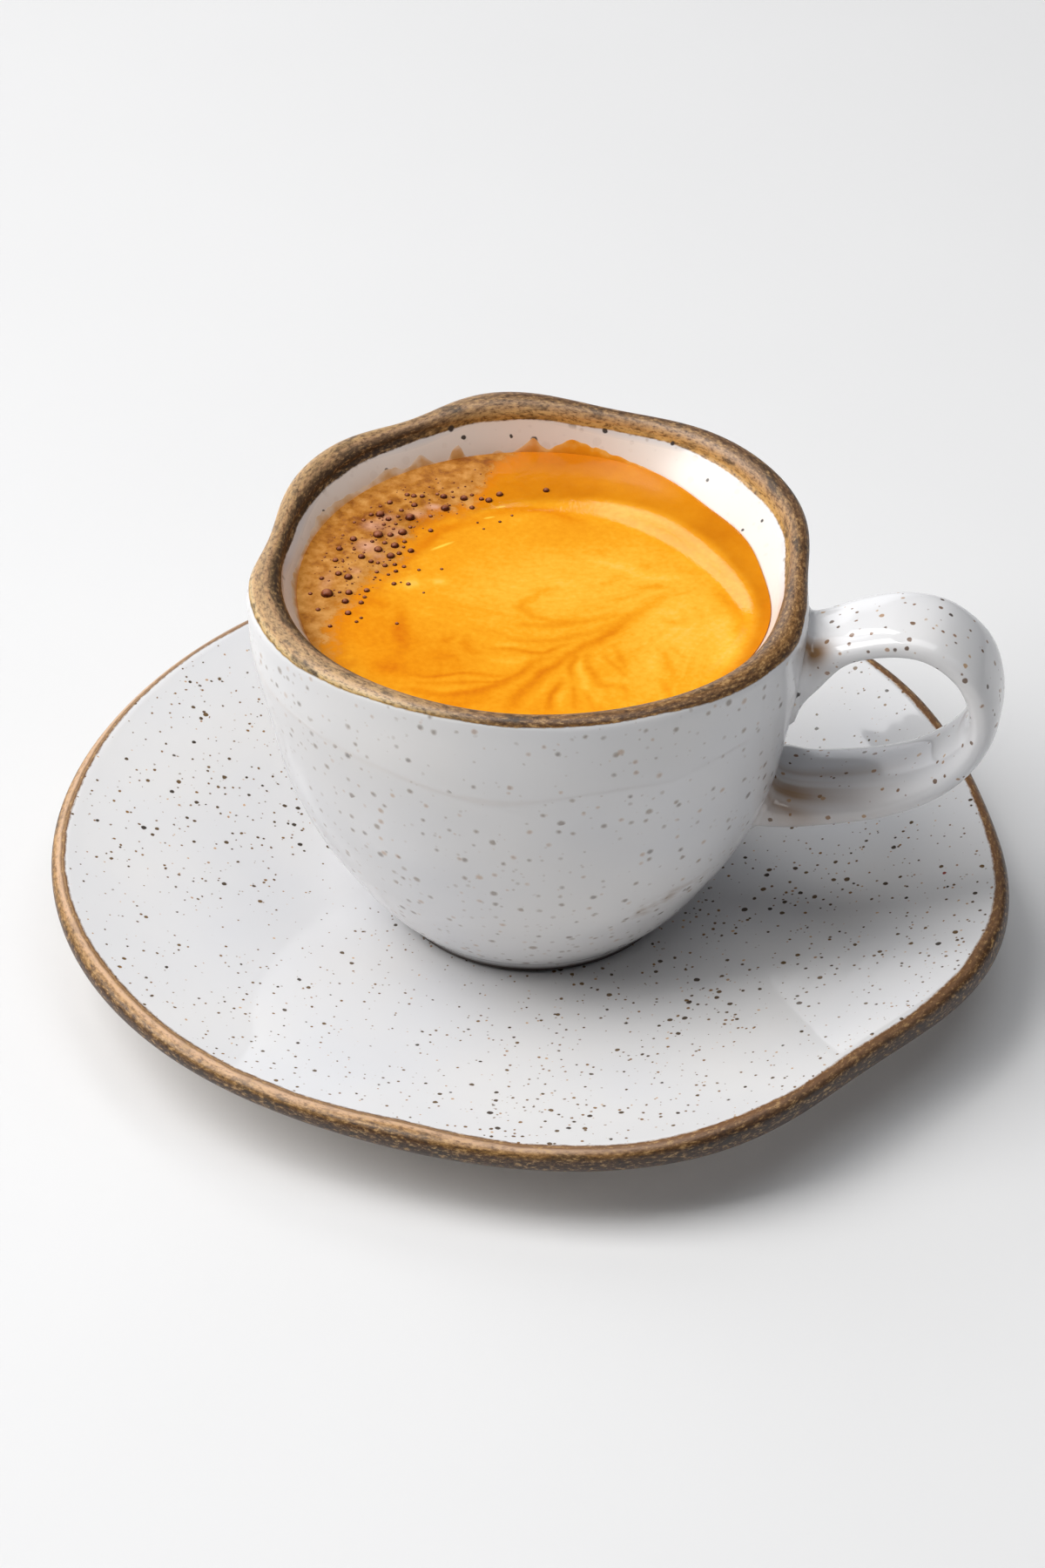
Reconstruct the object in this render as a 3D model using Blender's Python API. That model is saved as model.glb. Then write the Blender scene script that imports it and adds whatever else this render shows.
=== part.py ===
"""A cup of coffee with crema: a hand-pinched stoneware cup, filled almost to its lip, on its own saucer.

Frame: metres, +Z up, the table at Z = 0. The handle points along +X. The origin is under the middle
of the footprint. Angles are azimuths in degrees, counted from the handle, anticlockwise seen from above.
"""

import math

import bmesh
import bpy
import numpy as np

MM = 0.001

# Saucer: an uneven round dish with a thick rounded edge, on a plain foot ring.
SAUCER_RADIUS = 82.4 * MM
SAUCER_CENTRE = (-0.3 * MM, -0.6 * MM)
SAUCER_DENTS = ((23, 2.9 * MM, 19), (95, 3.7 * MM, 34), (164, 1.5 * MM, 29),
                (262, 6.0 * MM, 33), (326.5, 4.7 * MM, 17.5))
SAUCER_FLOOR = 7.5 * MM
SAUCER_WELL_RADIUS = 31.0 * MM
SAUCER_EDGE_RISE = 8.3 * MM
SAUCER_EDGE_WAVES = ((1, 1.96 * MM, 141), (2, 0.61 * MM, 134.5), (3, 0.89 * MM, 90))
SAUCER_EDGE_HALF_THICKNESS = 2.35 * MM
SAUCER_EDGE_THICKNESS_WAVES = ((1, 0.45 * MM, 20),)
SAUCER_EDGE_DEPTH = 2.4 * MM
SAUCER_EDGE_SQUARENESS = 2.5
SAUCER_EDGE_ANGLES = (-90, -50, -22, 0, 22, 50, 90)
SAUCER_SLOPE_CURVE = 1.35
SAUCER_SLOPE_PARTS = (0.9, 0.75, 0.58, 0.4, 0.22, 0.08)
SAUCER_UNDERSIDE_CURVE = 1.2
SAUCER_UNDERSIDE_PARTS = (0.3, 0.65)
FOOT_INNER_RADIUS = 42.0 * MM
FOOT_OUTER_RADIUS = 47.0 * MM
FOOT_DRAFT = 1.3 * MM
FOOT_RECESS = 2.6 * MM

# Cup: profiles of (height above the surface it stands on, radius), in millimetres.
CUP_GAP = 0.3 * MM
CUP_FOOT_CENTRE = (-0.3 * MM, -0.5 * MM)
CUP_LIP_CENTRE = (-0.3 * MM, 1.0 * MM)
CUP_FOOT = ((1.6, 19.7), (0.0, 20.5), (0.0, 23.4), (0.3, 23.9), (2.3, 24.2), (2.9, 25.3))
CUP_WALL = ((3.75, 26.5), (8.0, 30.0), (14.0, 33.8), (22.0, 38.2), (32.0, 41.9),
            (44.0, 44.3), (55.0, 46.3), (64.4, 46.8))
CUP_HOLLOW = ((7.0, 12.0), (9.0, 19.5), (13.0, 26.0), (20.0, 31.6), (30.0, 35.3),
              (44.0, 37.4), (55.0, 38.7), (61.0, 39.3))
CUP_HOLLOW_FLOOR = 6.2 * MM
# The hollow has its own outline, which at the coffee's level is flatter beside the handle.
HOLLOW_DENTS = ((20, 2.2 * MM, 18), (50, 2.6 * MM, 17), (190, 0.65 * MM, 30))

# Lip: the wall ends in a round bead between an outer and an inner outline, each with its own dents.
LIP_OUTER_RADIUS = 48.3 * MM
LIP_OUTER_DENTS = ((85, 3.4 * MM, 20), (130, 2.5 * MM, 12.5), (180.5, 3.4 * MM, 16.5),
                   (244, 1.3 * MM, 19), (271, 2.0 * MM, 22.5), (9, 3.7 * MM, 19))
LIP_INNER_RADIUS = 43.6 * MM
LIP_INNER_DENTS = ((97, 2.4 * MM, 33), (192.5, 2.1 * MM, 29.5), (247, 1.2 * MM, 32),
                   (1, 2.6 * MM, 23))
LIP_HEIGHT = 65.6 * MM
LIP_WAVES = ((1, 0.4 * MM, 101), (2, 1.3 * MM, 99.5))

# Handle: a flat strap. Each section is its outer point, its inner point and its width, in millimetres,
# where a point is (distance from the cup's axis, height above the surface it stands on).
HANDLE_SECTIONS = (((41.6, 60.6), (41.6, 44.0), 15.0), ((47.0, 61.6), (47.2, 50.4), 15.4),
                   ((53.2, 64.0), (52.8, 58.0), 15.5), ((60.5, 65.9), (60.6, 60.8), 15.7),
                   ((68.1, 64.9), (66.1, 60.2), 16.0), ((75.0, 59.0), (70.6, 56.2), 16.3),
                   ((77.6, 50.0), (72.5, 50.0), 16.6), ((75.6, 42.1), (71.0, 44.5), 16.9),
                   ((69.5, 34.4), (66.0, 38.4), 17.3), ((60.0, 28.8), (58.0, 33.8), 17.8),
                   ((48.0, 25.1), (47.0, 31.1), 18.3), ((42.0, 23.9), (41.6, 31.3), 18.8),
                   ((35.9, 23.3), (37.8, 31.6), 18.6))
HANDLE_SQUARENESS = 2.8

# Coffee: fills the hollow to its top row, below the lip, with a low bank of froth on one side.
COFFEE_GAP = 0.3 * MM
COFFEE_LEVEL = 61.0 * MM
COFFEE_MENISCUS = 0.4 * MM
COFFEE_MENISCUS_WIDTH = 1.6 * MM
FROTH_HEIGHT = 0.8 * MM
FROTH_AZIMUTH = 150
FROTH_SPREAD = 48
FROTH_RADIUS = 33.0 * MM
FROTH_WIDTH = 9.0 * MM
COFFEE_PARTS = (1.0, 0.955, 0.88, 0.76, 0.64, 0.5, 0.34, 0.17)

AROUND = 64
SAUCER_AROUND = 72
COFFEE_AROUND = 48
WALL_ROWS = 13
HOLLOW_ROWS = 10
BEAD_ROWS = 5
STRAP_STEPS = 30
STRAP_SIDES = 14


def clear_scene():
    for obj in list(bpy.data.objects):
        bpy.data.objects.remove(obj, do_unlink=True)


def glazed(name, colour, roughness, coat):
    """A Principled material of one colour, with a clear glaze or a wet film as its coat."""
    material = bpy.data.materials.new(name)
    material.use_nodes = True
    shader = material.node_tree.nodes["Principled BSDF"]
    shader.inputs["Base Color"].default_value = (*colour, 1.0)
    shader.inputs["Metallic"].default_value = 0.0
    shader.inputs["Roughness"].default_value = roughness
    shader.inputs["Coat Weight"].default_value = coat
    material.diffuse_color = (*colour, 1.0)
    return material


def azimuths(count):
    return np.linspace(0.0, 2.0 * math.pi, count, endpoint=False)


def dented(radius, dents, turn):
    """A circle's radius less a smooth dent at each (azimuth, depth, half width in degrees)."""
    result = np.full_like(turn, radius)
    for azimuth, depth, width in dents:
        away = (turn - math.radians(azimuth) + math.pi) % (2.0 * math.pi) - math.pi
        result -= depth * np.exp(-((away / math.radians(width)) ** 2))
    return result


def waved(height, waves, turn):
    """A height plus one cosine for each (number of waves, amplitude, azimuth of a crest)."""
    result = np.full_like(turn, height)
    for count, amplitude, crest in waves:
        result += amplitude * np.cos(count * (turn - math.radians(crest)))
    return result


def smooth_curve(points, count):
    """Points along a Catmull-Rom curve through the given ones, evenly spaced along its length."""
    knots = np.array(points, float)
    padded = np.vstack([2 * knots[0] - knots[1], knots, 2 * knots[-1] - knots[-2]])
    fine = []
    for before, start, end, after in zip(padded, padded[1:], padded[2:], padded[3:]):
        for t in np.linspace(0.0, 1.0, 24, endpoint=False):
            fine.append(0.5 * (2 * start + (end - before) * t
                               + (2 * before - 5 * start + 4 * end - after) * t * t
                               + (3 * start - before - 3 * end + after) * t ** 3))
    fine = np.array(fine + [knots[-1]])
    length = np.concatenate([[0.0], np.cumsum(np.linalg.norm(np.diff(fine, axis=0), axis=1))])
    even = np.linspace(0.0, length[-1], count)
    return np.stack([np.interp(even, length, fine[:, axis]) for axis in range(fine.shape[1])], axis=1)


def superellipse(angle, exponent):
    """The unit superellipse |x|^n + |y|^n = 1 at the given angles."""
    c, s = np.cos(angle), np.sin(angle)
    return np.sign(c) * np.abs(c) ** (2 / exponent), np.sign(s) * np.abs(s) ** (2 / exponent)


def ring(centre, radius, height, turn):
    """One closed row of points; radius and height are numbers, or arrays over the azimuths."""
    return np.stack([centre[0] + radius * np.cos(turn), centre[1] + radius * np.sin(turn),
                     height + 0.0 * turn], axis=1)


def closed_skin(name, rows, first_pole, last_pole, material):
    """A closed body from rows of points, stacked from an axis point below to one above."""
    mesh = bpy.data.meshes.new(name)
    bm = bmesh.new()
    grid = [[bm.verts.new(point) for point in row] for row in rows]
    count = len(grid[0])
    bottom = bm.verts.new(first_pole)
    top = bm.verts.new(last_pole)
    for i in range(count):
        j = (i + 1) % count
        bm.faces.new((bottom, grid[0][j], grid[0][i]))
        bm.faces.new((top, grid[-1][i], grid[-1][j]))
        for lower, upper in zip(grid, grid[1:]):
            bm.faces.new((lower[i], lower[j], upper[j], upper[i]))
    bmesh.ops.recalc_face_normals(bm, faces=bm.faces)
    bm.to_mesh(mesh)
    bm.free()
    mesh.shade_smooth()
    mesh.materials.append(material)
    obj = bpy.data.objects.new(name, mesh)
    bpy.context.scene.collection.objects.link(obj)
    return obj


def saucer_outline(turn):
    """Radius of the saucer's outermost line, and height of the middle of its edge, at each azimuth."""
    radius = dented(SAUCER_RADIUS, SAUCER_DENTS, turn)
    height = waved(SAUCER_FLOOR + SAUCER_EDGE_RISE, SAUCER_EDGE_WAVES, turn)
    return radius, height


def footprint_middle():
    """The middle of the saucer's outline in X and Y, which the origin is put under."""
    turn = azimuths(3600)
    radius, _ = saucer_outline(turn)
    x = SAUCER_CENTRE[0] + radius * np.cos(turn)
    y = SAUCER_CENTRE[1] + radius * np.sin(turn)
    return (x.max() + x.min()) / 2, (y.max() + y.min()) / 2


def make_saucer(material, shift):
    turn = azimuths(SAUCER_AROUND)
    radius, height = saucer_outline(turn)
    half = waved(SAUCER_EDGE_HALF_THICKNESS, SAUCER_EDGE_THICKNESS_WAVES, turn)
    centre = (SAUCER_CENTRE[0] - shift[0], SAUCER_CENTRE[1] - shift[1])
    stand = (CUP_FOOT_CENTRE[0] - shift[0], CUP_FOOT_CENTRE[1] - shift[1])
    edge = radius - SAUCER_EDGE_DEPTH
    foot = FOOT_OUTER_RADIUS + FOOT_DRAFT
    rows = [ring(stand, FOOT_INNER_RADIUS - FOOT_DRAFT, FOOT_RECESS, turn),
            ring(stand, FOOT_INNER_RADIUS, 0.0, turn),
            ring(stand, FOOT_OUTER_RADIUS, 0.0, turn),
            ring(stand, foot, FOOT_RECESS, turn)]
    for part in SAUCER_UNDERSIDE_PARTS:
        rise = part ** SAUCER_UNDERSIDE_CURVE * (height - half - FOOT_RECESS)
        rows.append(ring(centre, foot + part * (edge - foot), FOOT_RECESS + rise, turn))
    for angle in np.radians(SAUCER_EDGE_ANGLES):
        out, up = superellipse(angle, SAUCER_EDGE_SQUARENESS)
        rows.append(ring(centre, edge + SAUCER_EDGE_DEPTH * out, height + half * up, turn))
    for part in SAUCER_SLOPE_PARTS:
        at = SAUCER_WELL_RADIUS + part * (edge - SAUCER_WELL_RADIUS)
        rise = part ** SAUCER_SLOPE_CURVE * (height + half - SAUCER_FLOOR)
        rows.append(ring(centre, at, SAUCER_FLOOR + rise, turn))
    rows.append(ring(stand, SAUCER_WELL_RADIUS - 1.0 * MM, SAUCER_FLOOR, turn))
    return closed_skin("saucer", rows, (*stand, FOOT_RECESS), (*stand, SAUCER_FLOOR), material)


def cup_centre(height):
    """The cup leans a little: its axis passes through both centres, over the height of the wall."""
    part = np.clip(height / LIP_HEIGHT, 0.0, 1.0)
    return [low + (high - low) * part for low, high in zip(CUP_FOOT_CENTRE, CUP_LIP_CENTRE)]


def lip_outlines(turn):
    """Outer and inner radius of the lip's bead, and the height of its middle."""
    outer = dented(LIP_OUTER_RADIUS, LIP_OUTER_DENTS, turn)
    inner = dented(LIP_INNER_RADIUS, LIP_INNER_DENTS, turn)
    return outer, inner, waved(LIP_HEIGHT, LIP_WAVES, turn)


def wall_rows(profile, count, outline):
    """Heights and radii of rows up a wall. Its dents fade from full depth at the lip to none at the foot."""
    rows = []
    for height, radius in smooth_curve(profile, count) * MM:
        part = (height - profile[0][0] * MM) / (LIP_HEIGHT - profile[0][0] * MM)
        rows.append((height, radius + (outline - outline.mean()) * part, part))
    return rows


def hollow_rows(turn):
    """Heights and radii of rows up the inside of the cup, from its floor to the coffee's level."""
    return wall_rows(CUP_HOLLOW, HOLLOW_ROWS, dented(0.0, HOLLOW_DENTS, turn))


def make_cup_body(material, shift):
    turn = azimuths(AROUND)
    outer, inner, lip_height = lip_outlines(turn)
    base = SAUCER_FLOOR + CUP_GAP
    rows = []

    def add(radius, height):
        centre = cup_centre(np.mean(height))
        rows.append(ring((centre[0] - shift[0], centre[1] - shift[1]), radius, height + base, turn))

    for height, radius in CUP_FOOT:
        add(radius * MM, height * MM)
    for height, radius, part in wall_rows(CUP_WALL, WALL_ROWS, outer):
        add(radius, height + (lip_height - LIP_HEIGHT) * part ** 2)
    middle, half = (outer + inner) / 2, (outer - inner) / 2
    for angle in np.linspace(0.0, math.pi, BEAD_ROWS + 2):
        add(middle + half * math.cos(angle), lip_height + half * math.sin(angle))
    for height, radius, _ in hollow_rows(turn)[::-1]:
        add(radius, height)
    pole = (CUP_FOOT_CENTRE[0] - shift[0], CUP_FOOT_CENTRE[1] - shift[1])
    underside = base + CUP_FOOT[0][0] * MM
    return closed_skin("cup", rows, (*pole, underside), (*pole, base + CUP_HOLLOW_FLOOR), material)


def make_handle(material, shift):
    """The strap as rings through its smoothed sections; both ends lie inside the cup's wall."""
    sections = [(*outer, *inner, width) for outer, inner, width in HANDLE_SECTIONS]
    across, through = superellipse(azimuths(STRAP_SIDES), HANDLE_SQUARENESS)
    base = SAUCER_FLOOR + CUP_GAP
    rows = []
    for outer_out, outer_up, inner_out, inner_up, width in smooth_curve(sections, STRAP_STEPS) * MM:
        out = (outer_out + inner_out) / 2 + (outer_out - inner_out) / 2 * through
        up = (outer_up + inner_up) / 2 + (outer_up - inner_up) / 2 * through
        rows.append(np.stack([out - shift[0], width / 2 * across - shift[1], up + base], axis=1))
    return closed_skin("handle", rows, rows[0].mean(axis=0), rows[-1].mean(axis=0), material)


def join(target, other):
    """Fuses the second object into the first with a Boolean union, and removes it."""
    union = target.modifiers.new("fuse", "BOOLEAN")
    union.operation = "UNION"
    union.object = other
    union.solver = "EXACT"
    depsgraph = bpy.context.evaluated_depsgraph_get()
    fused = bpy.data.meshes.new_from_object(target.evaluated_get(depsgraph))
    target.modifiers.clear()
    target.data = fused
    fused.shade_smooth()
    bpy.data.objects.remove(other, do_unlink=True)


def froth(x, y):
    """Height of the bank of froth over the coffee's level at points of its surface."""
    turn = np.arctan2(y, x)
    away = (turn - math.radians(FROTH_AZIMUTH) + math.pi) % (2.0 * math.pi) - math.pi
    out = (np.hypot(x, y) - FROTH_RADIUS) / FROTH_WIDTH
    return FROTH_HEIGHT * np.exp(-((away / math.radians(FROTH_SPREAD)) ** 2)) * np.exp(-(out ** 2))


def make_coffee(material, shift):
    turn = azimuths(COFFEE_AROUND)
    base = SAUCER_FLOOR + CUP_GAP
    rows = []

    def add(radius, height):
        centre = cup_centre(np.mean(height))
        rows.append(ring((centre[0] - shift[0], centre[1] - shift[1]), radius, height + base, turn))

    hollow = hollow_rows(turn)
    for height, radius, _ in hollow[:-1]:
        add(radius - COFFEE_GAP, height + COFFEE_GAP)
    edge = hollow[-1][1] - COFFEE_GAP
    for part in COFFEE_PARTS:
        x, y = part * edge * np.cos(turn), part * edge * np.sin(turn)
        climb = COFFEE_MENISCUS * np.exp(-(edge * (1 - part)) / COFFEE_MENISCUS_WIDTH)
        add(part * edge, COFFEE_LEVEL + climb + froth(x, y))
    low, high = CUP_FOOT_CENTRE, cup_centre(COFFEE_LEVEL)
    bottom = (low[0] - shift[0], low[1] - shift[1], base + CUP_HOLLOW_FLOOR + COFFEE_GAP)
    top = (high[0] - shift[0], high[1] - shift[1], base + COFFEE_LEVEL)
    return closed_skin("coffee", rows, bottom, top, material)


def main():
    clear_scene()
    shift = footprint_middle()
    stoneware = glazed("stoneware_glaze", (0.70, 0.69, 0.68), 0.22, 0.5)
    crema = glazed("crema", (0.80, 0.32, 0.03), 0.32, 0.3)
    make_saucer(stoneware, shift)
    cup = make_cup_body(stoneware, shift)
    handle = make_handle(stoneware, shift)
    join(cup, handle)
    make_coffee(crema, shift)


main()
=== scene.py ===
# %% [markdown]
# A cup of coffee with crema. The cup and its saucer are hand-pinched stoneware with a speckled white
# glaze and bare brown edges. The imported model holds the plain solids. This lesson dresses them: each
# piece is worked out again on a fine grid from the same measures, and gets the finish of the real one.

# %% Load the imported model
import functools
import math

import bpy
import mathutils
import numpy as np
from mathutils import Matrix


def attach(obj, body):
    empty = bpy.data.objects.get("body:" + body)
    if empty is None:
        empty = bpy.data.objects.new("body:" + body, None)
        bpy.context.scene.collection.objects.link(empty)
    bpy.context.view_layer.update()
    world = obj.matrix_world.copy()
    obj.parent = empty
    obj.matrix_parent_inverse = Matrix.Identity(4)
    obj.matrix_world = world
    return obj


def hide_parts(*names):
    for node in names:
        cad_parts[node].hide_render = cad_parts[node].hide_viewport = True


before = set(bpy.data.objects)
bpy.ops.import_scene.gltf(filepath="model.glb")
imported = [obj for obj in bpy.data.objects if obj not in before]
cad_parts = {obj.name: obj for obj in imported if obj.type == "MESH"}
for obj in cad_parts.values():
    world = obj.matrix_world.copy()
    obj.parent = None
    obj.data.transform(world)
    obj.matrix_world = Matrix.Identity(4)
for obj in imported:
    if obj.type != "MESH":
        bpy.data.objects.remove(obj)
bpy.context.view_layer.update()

# %% [markdown]
# Everything pinched by hand has an outline that is nearly a circle. A circle less a few soft dents says
# that with three numbers a dent: azimuth, depth and half width. Heights that wander round the edge are a
# mean plus a few cosines, each with its number of waves, its amplitude and the azimuth of a crest.

# %% Outlines: dents, waves and smooth profiles
MM = 0.001
TURN = 2 * math.pi
CURVE_STEPS = 24


def round_about(count):
    """Azimuths of a closed ring, evenly spaced."""
    return np.linspace(0.0, TURN, count, endpoint=False)


def dented(radius, dents, turn):
    """The radius less depth * exp(-(angle from the dent / half width)^2), summed over the dents."""
    azimuth, depth, width = (np.array(column)[:, None] for column in zip(*dents))
    away = (turn[None] - np.radians(azimuth) + math.pi) % TURN - math.pi
    return radius - (depth * np.exp(-(away / np.radians(width)) ** 2)).sum(0)


def waved(height, waves, turn):
    """The height plus amplitude * cos(number * (turn - crest)), summed over the waves."""
    number, amplitude, crest = (np.array(column)[:, None] for column in zip(*waves))
    return height + (amplitude * np.cos(number * (turn[None] - np.radians(crest)))).sum(0)


def smooth_curve(points, count):
    """A smooth cubic curve through the points: half of 2b + (c-a)t + (2a-5b+4c-d)t^2 + (3b-a-3c+d)t^3
    between b and c, with a and d on either side. The result is evenly spaced along its length."""
    knots = np.array(points, float)
    padded = np.vstack([2 * knots[0] - knots[1], knots, 2 * knots[-1] - knots[-2]])
    a, b, c, d = (padded[i:len(padded) - 3 + i, None] for i in range(4))
    t = np.linspace(0.0, 1.0, CURVE_STEPS, endpoint=False)[None, :, None]
    fine = (2 * b + (c - a) * t + (2 * a - 5 * b + 4 * c - d) * t ** 2
            + (3 * b - a - 3 * c + d) * t ** 3) / 2
    fine = np.vstack([fine.reshape(-1, knots.shape[1]), knots[-1:]])
    length = np.concatenate([[0.0], np.cumsum(np.linalg.norm(np.diff(fine, axis=0), axis=1))])
    even = np.linspace(0.0, length[-1], count)
    return np.stack([np.interp(even, length, column) for column in fine.T], axis=1)


# %% [markdown]
# One helper turns a grid of points into a closed mesh. Rows run along the profile and columns run round
# it. The first and last row each close on one point. It also keeps measures, such as the distance from
# the rim, as attributes, which the glazes read later.

# %% A skin from a grid
def new_piece(name, points, faces, measures):
    """A smooth mesh that rides on the model, with each measure kept as an attribute of its points."""
    mesh = bpy.data.meshes.new(name)
    mesh.from_pydata(points.tolist(), [], faces)
    mesh.shade_smooth()
    for label, values in measures.items():
        layer = mesh.attributes.new(label, "FLOAT", "POINT")
        layer.data.foreach_set("value", values.astype(np.float32))
    piece = bpy.data.objects.new(name, mesh)
    bpy.context.scene.collection.objects.link(piece)
    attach(piece, "root")
    triangles = sum(len(face) - 2 for face in faces)
    print(f"{name}: {triangles} triangles, {np.round(np.ptp(points, axis=0) / MM, 1)} mm")
    return piece


def skin(name, grid, measures, ring=False):
    """Points (rows, columns, 3) to a closed mesh. Each quad joins a row to the next and a column to the
    next one round. Where ring is true the last row meets the first, otherwise fans close both ends."""
    rows, columns, _ = grid.shape
    index = np.arange(rows * columns).reshape(rows, columns)
    right = np.roll(index, -1, axis=1)
    if ring:
        quads = np.stack([index, right, np.roll(right, -1, axis=0), np.roll(index, -1, axis=0)], -1)
        points, fans = grid.reshape(-1, 3), np.zeros((0, 3), int)
    else:
        quads = np.stack([index[:-1], right[:-1], right[1:], index[1:]], -1)
        points = np.concatenate([grid.reshape(-1, 3), grid[[0, -1]].mean(1)])
        low, high = np.full(columns, rows * columns), np.full(columns, rows * columns + 1)
        fans = np.concatenate([np.stack([low, right[0], index[0]], -1),
                               np.stack([high, index[-1], right[-1]], -1)])
    quads = quads.reshape(-1, 4)
    triangles = np.concatenate([quads[:, [0, 1, 2]], quads[:, [0, 2, 3]], fans])
    if np.linalg.det(points[triangles]).sum() < 0:
        quads, fans = quads[:, ::-1], fans[:, ::-1]
    kept = {}
    for label, values in measures.items():
        values = np.broadcast_to(values, (rows, columns))
        ends = [] if ring else values[[0, -1]].mean(1)
        kept[label] = np.concatenate([values.reshape(-1), ends])
    return new_piece(name, points, quads.tolist() + fans.tolist(), kept)


def rings(centre, radius, height, turn):
    """Rows of points at (centre + radius * direction, height). All of them broadcast over the columns."""
    x = centre[..., 0] + radius * np.cos(turn)
    y = centre[..., 1] + radius * np.sin(turn)
    return np.stack(np.broadcast_arrays(x, y, height), axis=-1)


def along(rows):
    """Distance along the profile from its first row, for every column."""
    steps = np.linalg.norm(np.diff(rows, axis=0), axis=2)
    return np.concatenate([np.zeros((1, rows.shape[1])), np.cumsum(steps, axis=0)])


# %% [markdown]
# The saucer is a thrown disc pressed in by hand: its outline has five flats, and its edge rises and
# falls. The measure from_edge is the way from the top of the edge in millimetres, and band is how far
# across the bare brown band a point is. Both tell the glaze where to stop.

# %% Saucer measures
SAUCER_RADIUS = 82.4 * MM
SAUCER_CENTRE = np.array([-0.3, -0.6]) * MM
SAUCER_DENTS = ((23, 2.9 * MM, 19), (95, 3.7 * MM, 34), (164, 1.5 * MM, 29),
                (262, 6.0 * MM, 33), (326.5, 4.7 * MM, 17.5))
SAUCER_FLOOR = 7.5 * MM
WELL_RADIUS = 31.0 * MM
EDGE_RISE = 8.3 * MM
EDGE_WAVES = ((1, 1.96 * MM, 141), (2, 0.61 * MM, 134.5), (3, 0.89 * MM, 90))
EDGE_HALF = 2.35 * MM
EDGE_HALF_WAVES = ((1, 0.45 * MM, 20),)
EDGE_DEPTH = 2.4 * MM
EDGE_SQUARENESS = 2.5
# Azimuth and from_edge, first where the bare band begins, then where it ends.
SAUCER_BARE = (((0, 4.6), (25, 4.2), (45, 4.5), (60, 4.4), (100, 4.0), (130, 3.6), (145, 3.35),
                (160, 3.05), (180, 3.55), (200, 3.55), (220, 4.6), (240, 4.0), (253, 4.1), (265, 5.2),
                (280, 3.8), (295, 3.55), (305, 4.2), (320, 3.55), (335, 3.6), (350, 4.8)), ((0, -6.4),))
UNDER_RADII = (2, 15, 30, 40.2, 40.7)
FOOT_RING = ((40.8, 2.5), (41.6, 0.5), (42.3, 0.05), (44.5, 0.0), (46.7, 0.05), (47.4, 0.5), (48.1, 2.3))
FOOT_OUTSIDE, FOOT_RECESS, FOOT_BARE = 48.3 * MM, 2.6 * MM, 0.5 * MM
SAG, WHEEL, WHEEL_PITCH = 0.22 * MM, 0.006 * MM, 4.5 * MM

fine_turn = round_about(3600)
fine_outline = dented(SAUCER_RADIUS, SAUCER_DENTS, fine_turn)
outline_x = SAUCER_CENTRE[0] + fine_outline * np.cos(fine_turn)
outline_y = SAUCER_CENTRE[1] + fine_outline * np.sin(fine_turn)
SHIFT = np.array([np.ptp(outline_x) / 2 + outline_x.min(), np.ptp(outline_y) / 2 + outline_y.min()])
CUP_FOOT_CENTRE = np.array([-0.3, -0.5]) * MM - SHIFT
CUP_LIP_CENTRE = np.array([-0.3, 1.0]) * MM - SHIFT


def superellipse(angle, exponent):
    """|x|^n + |y|^n = 1 at the given angles."""
    c, s = np.cos(angle), np.sin(angle)
    return np.sign(c) * np.abs(c) ** (2 / exponent), np.sign(s) * np.abs(s) ** (2 / exponent)


def across_band(from_edge, turn, bare):
    """0 where the bare band begins, 1 where it ends. Two tables of azimuth and from_edge say where."""
    begin, end = (np.interp(np.degrees(turn), *np.array(table).T, period=360) for table in bare)
    return (from_edge - begin) / (end - begin)


# %% [markdown]
# The saucer is built in rows from the middle of the underside, over the foot ring and the underside to the
# thick edge, which is a squared-off oval, and down the slope to the flat well. Soft sags of a fifth of a
# millimetre, and throwing rings too faint to feel, make its gloss waver.

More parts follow.
